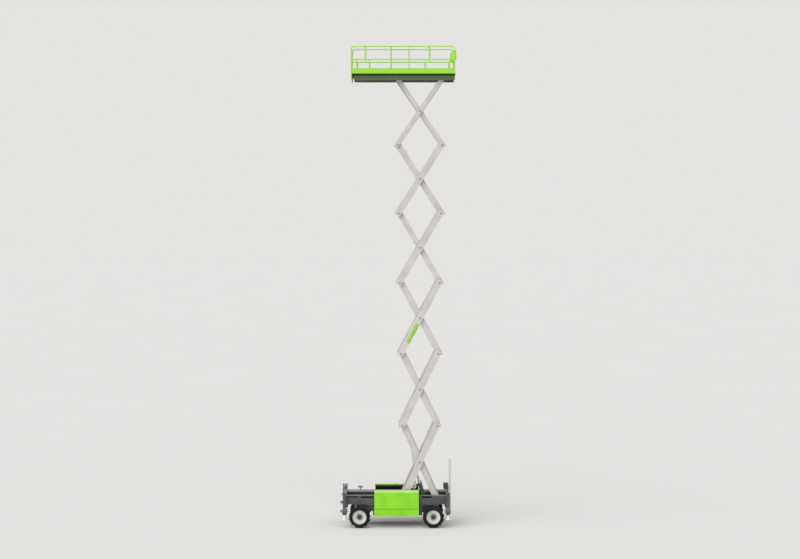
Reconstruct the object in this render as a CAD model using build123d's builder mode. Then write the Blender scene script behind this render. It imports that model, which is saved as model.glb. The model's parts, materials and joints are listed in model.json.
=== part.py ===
"""Rough-terrain scissor lift on four wheels, with its scissor raised.

Millimetres. +X points to the ladder end, -Y to the near side and +Z up. The ground is Z = 0,
and the origin lies on it under the middle of the whole machine.
"""

import os
from math import asin, cos, degrees, hypot, pi, radians, sin

from build123d import *

os.makedirs("parts", exist_ok=True)

# Overall
overall_width = 2280.0
half_width = overall_width / 2
front_reach = 2230.0
sliding_gap = 0.5
pin_clearance = 0.1

# Wheels
tyre_diameter = 838.0
tyre_width = 305.0
tyre_shoulder = 34.0
lug_count = 24
lug_height = 26.0
lug_root = 50.0
lug_length = 130.0
lug_bar = 46.0
lug_slant = 26.0
lug_overlap = 18.0
bead_diameter = 540.0
rim_width = 250.0
rim_wall = 14.0
rim_dish = 38.0
rim_disc = 22.0
rim_pocket_radius = 145.0
rim_pocket_depth = 10.0
hub_radius = 78.0
hub_length = 72.0
spindle_radius = 45.0
axle_z = tyre_diameter / 2
wheel_y = half_width - tyre_width / 2

# Axles and steering
front_axle_x = -1480.0
rear_axle_x = 1360.0
axle_tube_radius = 75.0
differential_radius = 130.0
differential_width = 280.0
axle_mount_length = 220.0
axle_mount_width = 380.0
axle_mount_sink = 40.0
kingpin_inset = 137.5
kingpin_y = wheel_y - kingpin_inset
kingpin_radius = 30.0
knuckle_radius = 50.0
knuckle_height = 200.0
yoke_wall = 30.0
yoke_wall_length = 70.0
yoke_wall_clearance = 30.0
yoke_ear_length = 100.0
yoke_thickness = 36.0
yoke_gap = 1.0
steer_arm = 205.0
steer_arm_drop = 62.0
steer_arm_thickness = 35.0
tie_rod_radius = 18.0
tie_pin_radius = 15.0
tie_eye_radius = 26.0
spindle_flange_radius = 110.0
spindle_flange = 45.0

# Chassis
spine_bottom = 560.0
spine_top = 800.0
spine_half_width = 430.0
spine_nose_half_width = 300.0
spine_front = -1620.0
spine_shoulder = -1000.0
spine_rear = 1520.0
spine_wall = 30.0
side_box_depth = 305.0
rail_outer_y = half_width - side_box_depth
rail_depth = 105.0
rail_web = 20.0
rail_flange_y = rail_outer_y - rail_depth
rail_bottom = 880.0
rail_top = 1226.0
rail_flange = 25.0
rail_slot_low = 1148.0
rail_slot_high = 1196.0
rail_post = 80.0
rail_plate = 560.0
cross_member_top = 925.0
cross_member_width = 140.0
bracket_x = 420.0
beam_bottom = 1045.0
hanger_front = 50.0
hanger_rear = 128.0
hanger_gap = 6.0

# Stabilisers
lug_reach = 175.0
leg_front_x = lug_reach - front_reach
leg_rear_x = 1925.0
leg_inset = 130.0
leg_y = half_width - leg_inset
leg_housing = 130.0
leg_housing_wall = 12.0
leg_housing_bottom = 520.0
leg_housing_top = 1360.0
leg_collar = 30.0
leg_cap = 14.0
leg_rod_radius = 47.5
leg_rod_top = 1330.0
skirt_bottom_width = 170.0
skirt_width = 210.0
skirt_middle_z = 640.0
skirt_top_z = 760.0
foot_bottom = 315.0
foot_radius = 93.0
foot_rim = 34.0
foot_cone = 52.0
foot_collar_low = 440.0
foot_collar_high = 500.0
foot_collar_radius = 58.0
lug_high_z = 1000.0
lug_low_z = 650.0
lug_radius = 45.0
lug_hole_radius = 20.0
lug_thickness = 30.0
loop_length = 184.0
loop_height = 200.0
loop_bar = 40.0
loop_lift = 150.0

# Side boxes
box_front = -907.0
box_rear = 797.0
box_bottom = 460.0
box_top = 1437.0
box_crease_z = 745.0
box_tuck = 26.0
box_edge_radius = 75.0
box_wall = 20.0
tray_plate = 10.0
tray_gap = 6.0
cover_hinge_inset = 22.0
cover_hinge_y = rail_outer_y + cover_hinge_inset
cover_hinge_drop = 16.0
cover_pin_radius = 9.0
cover_knuckle_radius = 15.0
cover_ear = 24.0
cover_ear_edge = 3.0
block_front_room = 300.0
block_rear_room = 260.0
block_side_room = 20.0
block_top_room = 170.0

# Scissor
stage_count = 6
raised_angle = 24.2
stowed_angle = 85.2
arm_kink = 1.08
arm_upper = 1550.0
base_pin_x = 1450.0
base_pin_z = 1070.0
base_lug = 30.0
base_lug_radius = 65.0
arm_thickness = 100.0
arm_rail_gap = 20.0
arm_gap = 30.0
outer_arm_y = rail_flange_y - arm_rail_gap - arm_thickness / 2
inner_arm_y = outer_arm_y - arm_thickness - arm_gap
outer_arm_depth = 250.0
inner_arm_depth = 215.0
top_arm_depth = 170.0
arm_wall = 8.0
arm_end = 95.0
pivot_pin_radius = 38.0
pivot_boss_radius = 55.0
pivot_pin_reach = 55.0
open_pivot_gap = 6.0
cross_tube = 105.0
top_cross_drop = 40.0
roller_radius = 50.0
roller_width = 60.0
base_roller_reach = 90.0
prop_lug_x = -952.0
prop_lug_y = -190.0
prop_lug_radius = 80.0
prop_lug_hole = 36.0
prop_lug = 40.0

# Lift cylinders
cylinder_base_x = 1049.0
cylinder_base_z = 880.0
cylinder_y = 250.0
cylinder_pin_offset = 246.5
barrel_radius = 75.0
barrel_bore = 58.0
barrel_length = 780.0
barrel_cap = 30.0
barrel_gland = 50.0
cylinder_eye_radius = 62.0
cylinder_eye_width = 80.0
cylinder_pin_radius = 30.0
rod_radius = 45.0
rod_length = 1010.0
cylinder_lug = 20.0
cylinder_lug_gap = 6.0
cylinder_lug_radius = 60.0
gusset = 24.0
gusset_top_x = 611.0
gusset_low_x = -110.0
gusset_edge = 55.0

# Ladder
ladder_x = 1981.0
ladder_depth = 69.0
ladder_gap = 6.0
ladder_half_width = 215.0
ladder_rail = 30.0
ladder_bottom = 560.0
ladder_top = 2510.0
ladder_step = 280.0
ladder_tread = 28.0
ladder_tread_inset = 5.0
ladder_bracket_inset = 20.0

# Ground controls on the near rear leg, beacon on the far rail
controls_front = 1738.0
controls_rear = 1922.0
controls_bottom = 1500.0
controls_top = 1758.0
controls_depth = 110.0
controls_round = 45.0
controls_post = 60.0
beacon_post_radius = 15.0
beacon_radius = 104.0
beacon_sides = 16
beacon_lift = 88.0
beacon_base = 26.0
beacon_cap = 34.0
beacon_taper = 35.0
beacon_inset = 15.0

# Platform
platform_front = -1804.0
platform_rear = 2188.0
platform_half_width = 905.0
side_board = 25.0
side_board_low = 75.0
side_board_high = 363.0
skirt_board = 30.0
skirt_board_drop = 85.0
skirt_board_front = -1686.0
deck_low = 200.0
deck_plate = 12.0
joist_depth = 45.0
joist_width = 40.0
joist_pitch = 480.0
mid_rail_rise = 698.0
top_rail_rise = 1193.0
rail_tube = 40.0
rail_corner = 130.0
full_posts = (-272.0, 430.0)
lower_posts = (-1574.0, -1098.0, 1052.0, 1977.0)
corner_plate = 12.0
corner_plate_length = 190.0
corner_plate_overhang = 42.0
corner_plate_top = 1055.0
track_web = 12.0
track_flange = 15.0
track_gap = 8.0
track_reach = 62.0
track_front = -1700.0
track_rear = 1900.0
track_web_y = inner_arm_y - arm_thickness / 2 - roller_width - track_gap - track_web
top_lug = 59.0
top_lug_half = 70.0
gate_half_width = 330.0
gate_pin_radius = 8.0
gate_knuckle_radius = 14.0
gate_knuckle_height = 60.0
gate_ear = 16.0
gate_gap = 8.0
gate_sheet = 6.0
extension_length = 1560.0
extension_rail_length = 3048.0
extension_post_x = -1255.0
extension_half_width = 855.0
extension_plate = 10.0

box_length = box_rear - box_front
box_middle = (box_rear + box_front) / 2
arm_lower = arm_upper * sin(radians(stowed_angle + arm_kink)) / sin(radians(stowed_angle - arm_kink))


def stage_angles():
    """Each stage's tube angle from upright: its lower pins stand where the stage below has its upper pins."""
    angles = [raised_angle]
    for _ in range(stage_count - 1):
        spread = arm_upper * sin(radians(angles[-1] + arm_kink))
        angles.append(arm_kink + degrees(asin(spread / arm_lower)))
    return angles


def stage_centres(angles):
    """The height of each stage's centre pin, from the base pins up."""
    heights = [base_pin_z + arm_lower * cos(radians(angles[0] - arm_kink))]
    for below, above in zip(angles, angles[1:]):
        rise = arm_upper * cos(radians(below + arm_kink)) + arm_lower * cos(radians(above - arm_kink))
        heights.append(heights[-1] + rise)
    return heights


arm_angles = stage_angles()
arm_centres = stage_centres(arm_angles)
stack_x = base_pin_x - arm_lower * sin(radians(raised_angle - arm_kink))
top_pin_x = stack_x + arm_upper * sin(radians(arm_angles[-1] + arm_kink))
top_pin_z = arm_centres[-1] + arm_upper * cos(radians(arm_angles[-1] + arm_kink))
upper_pin = (arm_upper * cos(radians(arm_kink)), -arm_upper * sin(radians(arm_kink)))
lower_pin = (-arm_lower * cos(radians(arm_kink)), -arm_lower * sin(radians(arm_kink)))
outer_arm_face = outer_arm_y - arm_thickness / 2
inner_arm_face = inner_arm_y + arm_thickness / 2


def arm_plane(stage, lean):
    """A frame on the stage's centre pin: x up along the tube, y to its upper side, z across the machine.

    lean is 1 for an outer arm, which leans to +X, and -1 for an inner arm, which leans to -X.
    """
    angle = radians(arm_angles[stage - 1])
    along = (lean * sin(angle), 0, cos(angle))
    return Plane(origin=(stack_x, 0, arm_centres[stage - 1]), x_dir=along, z_dir=(0, -lean, 0))


def span_box(x, y, z, mode=Mode.ADD):
    """A box given by its lowest and highest value along each axis."""
    with Locations((sum(x) / 2, sum(y) / 2, sum(z) / 2)):
        Box(x[1] - x[0], y[1] - y[0], z[1] - z[0], mode=mode)


def cross_pin(at, z, radius, mode=Mode.ADD):
    """A cylinder along z between two heights of the frame in use, at a point of its x and y."""
    with Locations((at[0], at[1], sum(z) / 2)):
        Cylinder(radius, abs(z[1] - z[0]), mode=mode)


def pin_along_y(x, y, z, radius, mode=Mode.ADD):
    """A cylinder across the machine from the first to the second y."""
    with Locations((x, sum(y) / 2, z)):
        Cylinder(radius, abs(y[1] - y[0]), rotation=(90, 0, 0), mode=mode)


def either_side(low, high, side):
    """A span of y on the given side of the machine, its lower value first."""
    return tuple(sorted((side * low, side * high)))


def keep(builder, label):
    """Names a finished piece and writes it."""
    builder.part.label = label
    export_step(builder.part, f"parts/{label}.step")


# Tyres and rims: flats around the tread, one slanted lug on each
wheel_places = {
    "front_near": (front_axle_x, -1),
    "front_far": (front_axle_x, 1),
    "rear_near": (rear_axle_x, -1),
    "rear_far": (rear_axle_x, 1),
}
tread_radius = tyre_diameter / 2 - lug_height
bead_radius = bead_diameter / 2
flat_turn = 180 / lug_count
rim_radius = bead_radius - pin_clearance
disc_front = rim_dish
disc_back = rim_dish - rim_disc
hub_bore_end = rim_dish + hub_length / 2
for place, (wheel_x, side) in wheel_places.items():
    wheel_centre = Vector(wheel_x, side * wheel_y, axle_z)
    wheel_plane = Plane(origin=wheel_centre, x_dir=(1, 0, 0), z_dir=(0, side, 0))
    with BuildPart() as tyre:
        with BuildSketch(wheel_plane):
            RegularPolygon(tread_radius, lug_count, major_radius=False, rotation=flat_turn)
        extrude(amount=tyre_width / 2, both=True)
        chamfer(tyre.faces().filter_by(Axis.Y).edges(), tyre_shoulder)
        for number in range(lug_count):
            turn = 2 * pi * number / lug_count
            outward = Vector(cos(turn), 0, sin(turn))
            hand = 1 if number % 2 else -1
            lug_plane = Plane(
                origin=wheel_centre + outward * (tread_radius - lug_root),
                x_dir=(0, side * hand, 0),
                z_dir=outward,
            )
            with BuildSketch(lug_plane):
                with BuildLine():
                    Polyline(
                        (-lug_overlap, -lug_bar / 2 - lug_slant),
                        (lug_length, -lug_bar / 2 + lug_slant),
                        (lug_length, lug_bar / 2 + lug_slant),
                        (-lug_overlap, lug_bar / 2 - lug_slant),
                        close=True,
                    )
                make_face()
        extrude(amount=lug_root + lug_height)
        with BuildSketch(wheel_plane):
            RegularPolygon(bead_radius, lug_count, major_radius=False, rotation=flat_turn)
        extrude(amount=tyre_width / 2, both=True, mode=Mode.SUBTRACT)
    keep(tyre, f"tyre_{place}")

    with BuildPart() as rim:
        with BuildSketch(wheel_plane):
            RegularPolygon(rim_radius, lug_count, major_radius=False, rotation=flat_turn)
        extrude(amount=rim_width / 2, both=True)
        with BuildSketch(wheel_plane.offset(disc_front)):
            RegularPolygon(rim_radius - rim_wall, lug_count, major_radius=False, rotation=flat_turn)
        extrude(amount=rim_width / 2 - disc_front, mode=Mode.SUBTRACT)
        with BuildSketch(wheel_plane.offset(disc_back)):
            RegularPolygon(rim_radius - rim_wall, lug_count, major_radius=False, rotation=flat_turn)
        extrude(amount=-rim_width / 2 - disc_back, mode=Mode.SUBTRACT)
        with BuildSketch(wheel_plane.offset(disc_front)):
            RegularPolygon(rim_pocket_radius, lug_count, major_radius=False, rotation=flat_turn)
        extrude(amount=-rim_pocket_depth, mode=Mode.SUBTRACT)
        with BuildSketch(wheel_plane.offset(disc_front - rim_pocket_depth)):
            RegularPolygon(hub_radius, lug_count, major_radius=False, rotation=flat_turn)
        extrude(amount=rim_pocket_depth + hub_length)
        with BuildSketch(wheel_plane.offset(disc_back)):
            Circle(spindle_radius + pin_clearance)
        extrude(amount=hub_bore_end - disc_back, mode=Mode.SUBTRACT)
    keep(rim, f"rim_{place}")

spindle_end = wheel_y + hub_bore_end - sliding_gap
spindle_flange_y = wheel_y + disc_back - sliding_gap

# Front axle: a tube with a differential, and at each end a yoke that holds the kingpin
yoke_inner = knuckle_height / 2 + yoke_gap
yoke_outer = yoke_inner + yoke_thickness
yoke_wall_y = kingpin_y - knuckle_radius - yoke_wall_clearance
with BuildPart() as front_axle:
    pin_along_y(front_axle_x, (-yoke_wall_y, yoke_wall_y), axle_z, axle_tube_radius)
    pin_along_y(front_axle_x, (-differential_width / 2, differential_width / 2), axle_z, differential_radius)
    span_box(
        (front_axle_x - axle_mount_length / 2, front_axle_x + axle_mount_length / 2),
        (-axle_mount_width / 2, axle_mount_width / 2),
        (axle_z + axle_mount_sink, spine_bottom),
    )
    for side in (-1, 1):
        wall = either_side(yoke_wall_y - yoke_wall, yoke_wall_y, side)
        wall_x = (front_axle_x - yoke_wall_length / 2, front_axle_x + yoke_wall_length / 2)
        ear = either_side(yoke_wall_y - yoke_wall, kingpin_y + knuckle_radius, side)
        ear_x = (front_axle_x - yoke_ear_length / 2, front_axle_x + yoke_ear_length / 2)
        span_box(wall_x, wall, (axle_z - yoke_outer, axle_z + yoke_outer))
        for low, high in ((-yoke_outer, -yoke_inner), (yoke_inner, yoke_outer)):
            span_box(ear_x, ear, (axle_z + low, axle_z + high))
        cross_pin(
            (front_axle_x, side * kingpin_y),
            (axle_z - yoke_outer, axle_z + yoke_outer),
            kingpin_radius + pin_clearance,
            mode=Mode.SUBTRACT,
        )
keep(front_axle, "front_axle")

# Rear axle: the same tube and differential, with a fixed spindle at each end
with BuildPart() as rear_axle:
    tube_y = spindle_flange_y - spindle_flange / 2
    pin_along_y(rear_axle_x, (-tube_y, tube_y), axle_z, axle_tube_radius)
    pin_along_y(rear_axle_x, (-differential_width / 2, differential_width / 2), axle_z, differential_radius)
    span_box(
        (rear_axle_x - axle_mount_length / 2, rear_axle_x + axle_mount_length / 2),
        (-axle_mount_width / 2, axle_mount_width / 2),
        (axle_z + axle_mount_sink, spine_bottom),
    )
    for side in (-1, 1):
        flange_y = either_side(spindle_flange_y - spindle_flange, spindle_flange_y, side)
        pin_along_y(rear_axle_x, flange_y, axle_z, spindle_flange_radius)
        spindle_y = either_side(spindle_flange_y - spindle_flange, spindle_end, side)
        pin_along_y(rear_axle_x, spindle_y, axle_z, spindle_radius)
keep(rear_axle, "rear_axle")

# Steering knuckles: kingpin, spindle and steering arm
arm_low = axle_z - steer_arm_drop - steer_arm_thickness / 2
arm_high = axle_z - steer_arm_drop + steer_arm_thickness / 2
tie_pin_x = front_axle_x + steer_arm
for place, side in (("near", -1), ("far", 1)):
    kingpin = (front_axle_x, side * kingpin_y)
    tie_eye = (tie_pin_x, side * kingpin_y)
    with BuildPart() as knuckle:
        cross_pin(kingpin, (axle_z - knuckle_height / 2, axle_z + knuckle_height / 2), knuckle_radius)
        cross_pin(kingpin, (axle_z - yoke_outer, axle_z + yoke_outer), kingpin_radius)
        pin_along_y(front_axle_x, either_side(kingpin_y, spindle_end, side), axle_z, spindle_radius)
        flange_y = either_side(spindle_flange_y - spindle_flange, spindle_flange_y, side)
        pin_along_y(front_axle_x, flange_y, axle_z, spindle_flange_radius)
        span_box(
            (front_axle_x, tie_pin_x),
            either_side(kingpin_y - tie_eye_radius, kingpin_y + tie_eye_radius, side),
            (arm_low, arm_high),
        )
        cross_pin(tie_eye, (arm_low, arm_high), tie_eye_radius)
        cross_pin(tie_eye, (arm_low, arm_high), tie_pin_radius + pin_clearance, mode=Mode.SUBTRACT)
    keep(knuckle, f"knuckle_{place}")

# Tie rod between the steering arms, with a pin down into each
tie_rod_z = arm_high + sliding_gap + 2 * tie_rod_radius
with BuildPart() as tie_rod:
    pin_along_y(tie_pin_x, (-kingpin_y, kingpin_y), tie_rod_z, tie_rod_radius)
    for side in (-1, 1):
        tie_eye = (tie_pin_x, side * kingpin_y)
        cross_pin(tie_eye, (arm_high + sliding_gap, tie_rod_z + tie_rod_radius), tie_eye_radius)
        cross_pin(tie_eye, (arm_low, tie_rod_z), tie_pin_radius)
keep(tie_rod, "tie_rod")

# Chassis spine: a box girder with a narrow nose, and on it the lugs of the lift cylinders
cylinder_lug_inner = cylinder_eye_width / 2 + cylinder_lug_gap
cylinder_lug_outer = cylinder_lug_inner + cylinder_lug
with BuildPart() as chassis_spine:
    with BuildSketch(Plane.XY.offset(spine_bottom)):
        with BuildLine():
            Polyline(
                (spine_front, -spine_nose_half_width),
                (spine_shoulder - spine_half_width + spine_nose_half_width, -spine_nose_half_width),
                (spine_shoulder, -spine_half_width),
                (spine_rear, -spine_half_width),
                (spine_rear, spine_half_width),
                (spine_shoulder, spine_half_width),
                (spine_shoulder - spine_half_width + spine_nose_half_width, spine_nose_half_width),
                (spine_front, spine_nose_half_width),
                close=True,
            )
        make_face()
    extrude(amount=spine_top - spine_bottom)
    span_box(
        (spine_shoulder + spine_wall, spine_rear - spine_wall),
        (-spine_half_width + spine_wall, spine_half_width - spine_wall),
        (spine_bottom + spine_wall, spine_top - spine_wall),
        mode=Mode.SUBTRACT,
    )
    for side in (-1, 1):
        for low in (side * cylinder_y + cylinder_lug_inner, side * cylinder_y - cylinder_lug_outer):
            lug_y = (low, low + cylinder_lug)
            lug_x = (cylinder_base_x - cylinder_lug_radius, cylinder_base_x + cylinder_lug_radius)
            span_box(lug_x, lug_y, (spine_top, cylinder_base_z))
            pin_along_y(cylinder_base_x, lug_y, cylinder_base_z, cylinder_lug_radius)
        pin_y = (side * cylinder_y - cylinder_lug_outer, side * cylinder_y + cylinder_lug_outer)
        pin_along_y(cylinder_base_x, pin_y, cylinder_base_z, cylinder_pin_radius)
keep(chassis_spine, "chassis_spine")

# Chassis rails: channels whose flanges are the track of the lowest rollers, slots under the top flange, and
# hangers for the boxes
rail_front = leg_front_x + leg_housing / 2
rail_rear = leg_rear_x - leg_housing / 2
track_low = base_pin_z - roller_radius - sliding_gap
track_high = base_pin_z + roller_radius + sliding_gap
hanger_spans = (
    (box_front - hanger_gap - hanger_front, box_front - hanger_gap),
    (box_rear + hanger_gap, box_rear + hanger_gap + hanger_rear),
)
slot_spans = (
    (rail_front + rail_post, front_axle_x - rail_post / 2),
    (front_axle_x + rail_post / 2, hanger_spans[0][0]),
    (hanger_spans[1][1], rail_rear - rail_plate),
)
with BuildPart() as chassis_rails:
    for side in (-1, 1):
        web_y = either_side(rail_outer_y - rail_web, rail_outer_y, side)
        flange_y = either_side(rail_flange_y, rail_outer_y, side)
        span_box((rail_front, rail_rear), web_y, (rail_bottom, rail_top))
        span_box((rail_front, rail_rear), flange_y, (rail_top - rail_flange, rail_top))
        span_box((rail_front, rail_rear), flange_y, (track_high, track_high + rail_flange))
        span_box((rail_front, rail_rear), flange_y, (track_low - rail_flange, track_low))
        for hanger_x in hanger_spans:
            span_box(hanger_x, web_y, (box_bottom, rail_bottom))
        for slot_x in slot_spans:
            span_box(slot_x, web_y, (rail_slot_low, rail_slot_high), mode=Mode.SUBTRACT)
keep(chassis_rails, "chassis_rails")

# Chassis beams: end beams, cross members with the lugs of the lowest inner arm, and side brackets
beam_rear_face = ladder_x - ladder_gap
beam_half_length = leg_y - leg_housing / 2
base_lug_y = inner_arm_face + open_pivot_gap
rail_inner_y = rail_outer_y - rail_web
with BuildPart() as chassis_beams:
    beam_y = (-beam_half_length, beam_half_length)
    span_box((leg_front_x - leg_housing / 2, rail_front), beam_y, (beam_bottom, rail_top))
    span_box((rail_rear, beam_rear_face), beam_y, (beam_bottom, rail_top))
    for middle in (spine_shoulder + cross_member_width, base_pin_x):
        member_x = (middle - cross_member_width / 2, middle + cross_member_width / 2)
        span_box(member_x, (-rail_inner_y, rail_inner_y), (spine_top, cross_member_top))
    for side in (-1, 1):
        span_box(
            (bracket_x - cross_member_width / 2, bracket_x + cross_member_width / 2),
            either_side(spine_half_width, rail_inner_y, side),
            (cross_member_top - cross_member_width, cross_member_top),
        )
        lug_y = either_side(base_lug_y, base_lug_y + base_lug, side)
        lug_x = (base_pin_x - base_lug_radius, base_pin_x + base_lug_radius)
        span_box(lug_x, lug_y, (cross_member_top, base_pin_z))
        pin_along_y(base_pin_x, lug_y, base_pin_z, base_lug_radius)
        pin_y = either_side(inner_arm_face - pivot_pin_reach, base_lug_y, side)
        pin_along_y(base_pin_x, pin_y, base_pin_z, pivot_pin_radius)
keep(chassis_beams, "chassis_beams")

# Stabilisers: housings on the beams' ends with a flared skirt, and legs that slide down out of them
collar_top = leg_housing_bottom + leg_collar
inside_width = leg_housing - 2 * leg_housing_wall
for place, leg_x in (("front", leg_front_x), ("rear", leg_rear_x)):
    with BuildPart() as housings:
        for side in (-1, 1):
            leg_at = (leg_x, side * leg_y)
            span_box(
                (leg_x - leg_housing / 2, leg_x + leg_housing / 2),
                (side * leg_y - leg_housing / 2, side * leg_y + leg_housing / 2),
                (leg_housing_bottom, leg_housing_top),
            )
            for low, low_width, high, high_width in (
                (leg_housing_bottom, skirt_bottom_width, skirt_middle_z, skirt_width),
                (skirt_middle_z, skirt_width, skirt_top_z, leg_housing),
            ):
                with BuildSketch(Plane.XY.offset(low)):
                    with Locations(leg_at):
                        Rectangle(low_width, low_width)
                with BuildSketch(Plane.XY.offset(high)):
                    with Locations(leg_at):
                        Rectangle(high_width, high_width)
                loft()
            span_box(
                (leg_x - inside_width / 2, leg_x + inside_width / 2),
                (side * leg_y - inside_width / 2, side * leg_y + inside_width / 2),
                (collar_top, leg_housing_top - leg_cap),
                mode=Mode.SUBTRACT,
            )
            cross_pin(
                leg_at, (leg_housing_bottom, collar_top), leg_rod_radius + pin_clearance, mode=Mode.SUBTRACT
            )
        if place == "front":
            lug_tip = -front_reach + lug_radius
            lug_back = leg_x - leg_housing / 2
            loop_front = leg_x - leg_housing / 2
            loop_low = leg_housing_top + loop_lift
            for side in (-1, 1):
                with BuildSketch(Plane.XZ.offset(-side * leg_y - lug_thickness / 2)):
                    for lug_z in (lug_high_z, lug_low_z):
                        with Locations(((lug_tip + lug_back) / 2, lug_z)):
                            Rectangle(lug_back - lug_tip, 2 * lug_radius)
                        with Locations((lug_tip, lug_z)):
                            Circle(lug_radius)
                            Circle(lug_hole_radius, mode=Mode.SUBTRACT)
                extrude(amount=lug_thickness)
            with BuildSketch(Plane.XZ.offset(leg_y - lug_thickness / 2)):
                with Locations((loop_front + loop_bar / 2, leg_housing_top + loop_lift / 2)):
                    Rectangle(loop_bar, loop_lift)
                with Locations((loop_front + loop_length / 2, loop_low + loop_height / 2)):
                    Rectangle(loop_length, loop_height)
                    Rectangle(loop_length - 2 * loop_bar, loop_height - 2 * loop_bar, mode=Mode.SUBTRACT)
            extrude(amount=lug_thickness)
    keep(housings, f"leg_housings_{place}")

    for side_name, side in (("near", -1), ("far", 1)):
        leg_at = (leg_x, side * leg_y)
        with BuildPart() as leg:
            cross_pin(leg_at, (foot_bottom + foot_rim, leg_rod_top), leg_rod_radius)
            cross_pin(leg_at, (foot_bottom, foot_bottom + foot_rim), foot_radius)
            cross_pin(leg_at, (foot_collar_low, foot_collar_high), foot_collar_radius)
            with Locations((*leg_at, foot_bottom + foot_rim)):
                Cone(foot_radius, leg_rod_radius, foot_cone, align=(Align.CENTER, Align.CENTER, Align.MIN))
        keep(leg, f"leg_{place}_{side_name}")

# Side boxes: tray on the rail, block of machinery on the tray, cover hung from the top edge
hinge_z = box_top - cover_hinge_drop
for place, side in (("near", -1), ("far", 1)):
    tray_front = box_front + box_wall + tray_gap
    tray_rear = box_rear - box_wall - tray_gap
    floor_low = box_bottom + tray_gap
    floor_high = floor_low + tray_plate
    floor_outer = half_width - box_tuck - box_wall - tray_gap
    ear_places = (tray_front + cover_ear / 2, box_middle, tray_rear - cover_ear / 2)
    with BuildPart() as tray:
        span_box(
            (tray_front, tray_rear),
            either_side(rail_outer_y, rail_outer_y + tray_plate, side),
            (floor_low, hinge_z - 2 * cover_knuckle_radius),
        )
        floor_y = either_side(rail_outer_y, floor_outer, side)
        span_box((tray_front, tray_rear), floor_y, (floor_low, floor_high))
        for ear_x in ear_places:
            span_box(
                (ear_x - cover_ear / 2, ear_x + cover_ear / 2),
                either_side(rail_outer_y, cover_hinge_y + cover_pin_radius + cover_ear_edge, side),
                (hinge_z - 3 * cover_knuckle_radius, hinge_z + cover_pin_radius + cover_ear_edge),
            )
        with Locations((box_middle, side * cover_hinge_y, hinge_z)):
            Cylinder(cover_pin_radius, tray_rear - tray_front, rotation=(0, 90, 0))
    keep(tray, f"box_tray_{place}")

    with BuildPart() as cover:
        with BuildSketch(Plane.YZ.offset(box_front)):
            with BuildLine():
                Polyline(
                    (side * cover_hinge_y, box_top),
                    (side * cover_hinge_y, box_bottom),
                    (side * (half_width - box_tuck), box_bottom),
                    (side * half_width, box_crease_z),
                    (side * half_width, box_top - box_edge_radius),
                )
                RadiusArc(
                    (side * half_width, box_top - box_edge_radius),
                    (side * (half_width - box_edge_radius), box_top),
                    side * -box_edge_radius,
                )
                Line((side * (half_width - box_edge_radius), box_top), (side * cover_hinge_y, box_top))
            make_face()
        extrude(amount=box_length)
        open_y = cover_hinge_y - tray_gap
        open_z = box_bottom - tray_gap
        with BuildSketch(Plane.YZ.offset(box_front + box_wall)):
            with BuildLine():
                Polyline(
                    (side * (half_width - box_edge_radius), box_top - box_wall),
                    (side * open_y, box_top - box_wall),
                    (side * open_y, open_z),
                    (side * (half_width - box_tuck - box_wall), open_z),
                    (side * (half_width - box_wall), box_crease_z),
                    (side * (half_width - box_wall), box_top - box_edge_radius),
                )
                RadiusArc(
                    (side * (half_width - box_wall), box_top - box_edge_radius),
                    (side * (half_width - box_edge_radius), box_top - box_wall),
                    side * -(box_edge_radius - box_wall),
                )
            make_face()
        extrude(amount=box_length - 2 * box_wall, mode=Mode.SUBTRACT)
        for start, end in zip(ear_places, ear_places[1:]):
            knuckle_length = end - start - cover_ear - 2 * sliding_gap
            with Locations(((start + end) / 2, side * cover_hinge_y, hinge_z)):
                Cylinder(cover_knuckle_radius, knuckle_length, rotation=(0, 90, 0))
        for ear_x in ear_places:
            notch = 2 * cover_knuckle_radius
            span_box(
                (ear_x - cover_ear / 2 - sliding_gap, ear_x + cover_ear / 2 + sliding_gap),
                either_side(cover_hinge_y - notch, cover_hinge_y + notch, side),
                (box_top - 2 * notch, box_top + notch),
                mode=Mode.SUBTRACT,
            )
        with Locations((box_middle, side * cover_hinge_y, hinge_z)):
            Cylinder(cover_pin_radius + pin_clearance, box_length, rotation=(0, 90, 0), mode=Mode.SUBTRACT)
    keep(cover, f"box_cover_{place}")

    with BuildPart() as block:
        span_box(
            (box_front + block_front_room, box_rear - block_rear_room),
            either_side(rail_outer_y + tray_plate + block_side_room, floor_outer - block_side_room, side),
            (floor_high, box_top - block_top_room),
        )
    keep(block, "hydraulic_tank" if side < 0 else "engine_block")

# Ladder at the rear beam
with BuildPart() as ladder:
    for side in (-1, 1):
        stile_y = either_side(ladder_half_width - ladder_rail, ladder_half_width, side)
        span_box((ladder_x, ladder_x + ladder_depth), stile_y, (ladder_bottom, ladder_top))
        span_box(
            (beam_rear_face, ladder_x),
            stile_y,
            (beam_bottom + ladder_bracket_inset, rail_top - ladder_bracket_inset),
        )
    rung_count = int((ladder_top - ladder_bottom) // ladder_step)
    for number in range(rung_count):
        rung_z = ladder_bottom + ladder_step * (number + 0.5)
        span_box(
            (ladder_x + ladder_tread_inset, ladder_x + ladder_depth - ladder_tread_inset),
            (-ladder_half_width + ladder_rail, ladder_half_width - ladder_rail),
            (rung_z, rung_z + ladder_tread),
        )
keep(ladder, "ladder")

# Ground controls: a rounded box on a post that stands on the near rear leg housing
with BuildPart() as controls:
    with BuildSketch(Plane.XZ.offset(leg_y - controls_depth / 2)):
        with Locations(((controls_front + controls_rear) / 2, (controls_bottom + controls_top) / 2)):
            RectangleRounded(controls_rear - controls_front, controls_top - controls_bottom, controls_round)
    extrude(amount=controls_depth)
    span_box(
        (controls_rear - controls_post, controls_rear),
        (-leg_y - controls_post / 2, -leg_y + controls_post / 2),
        (leg_housing_top, controls_bottom + controls_round),
    )
keep(controls, "ground_controls")

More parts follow.
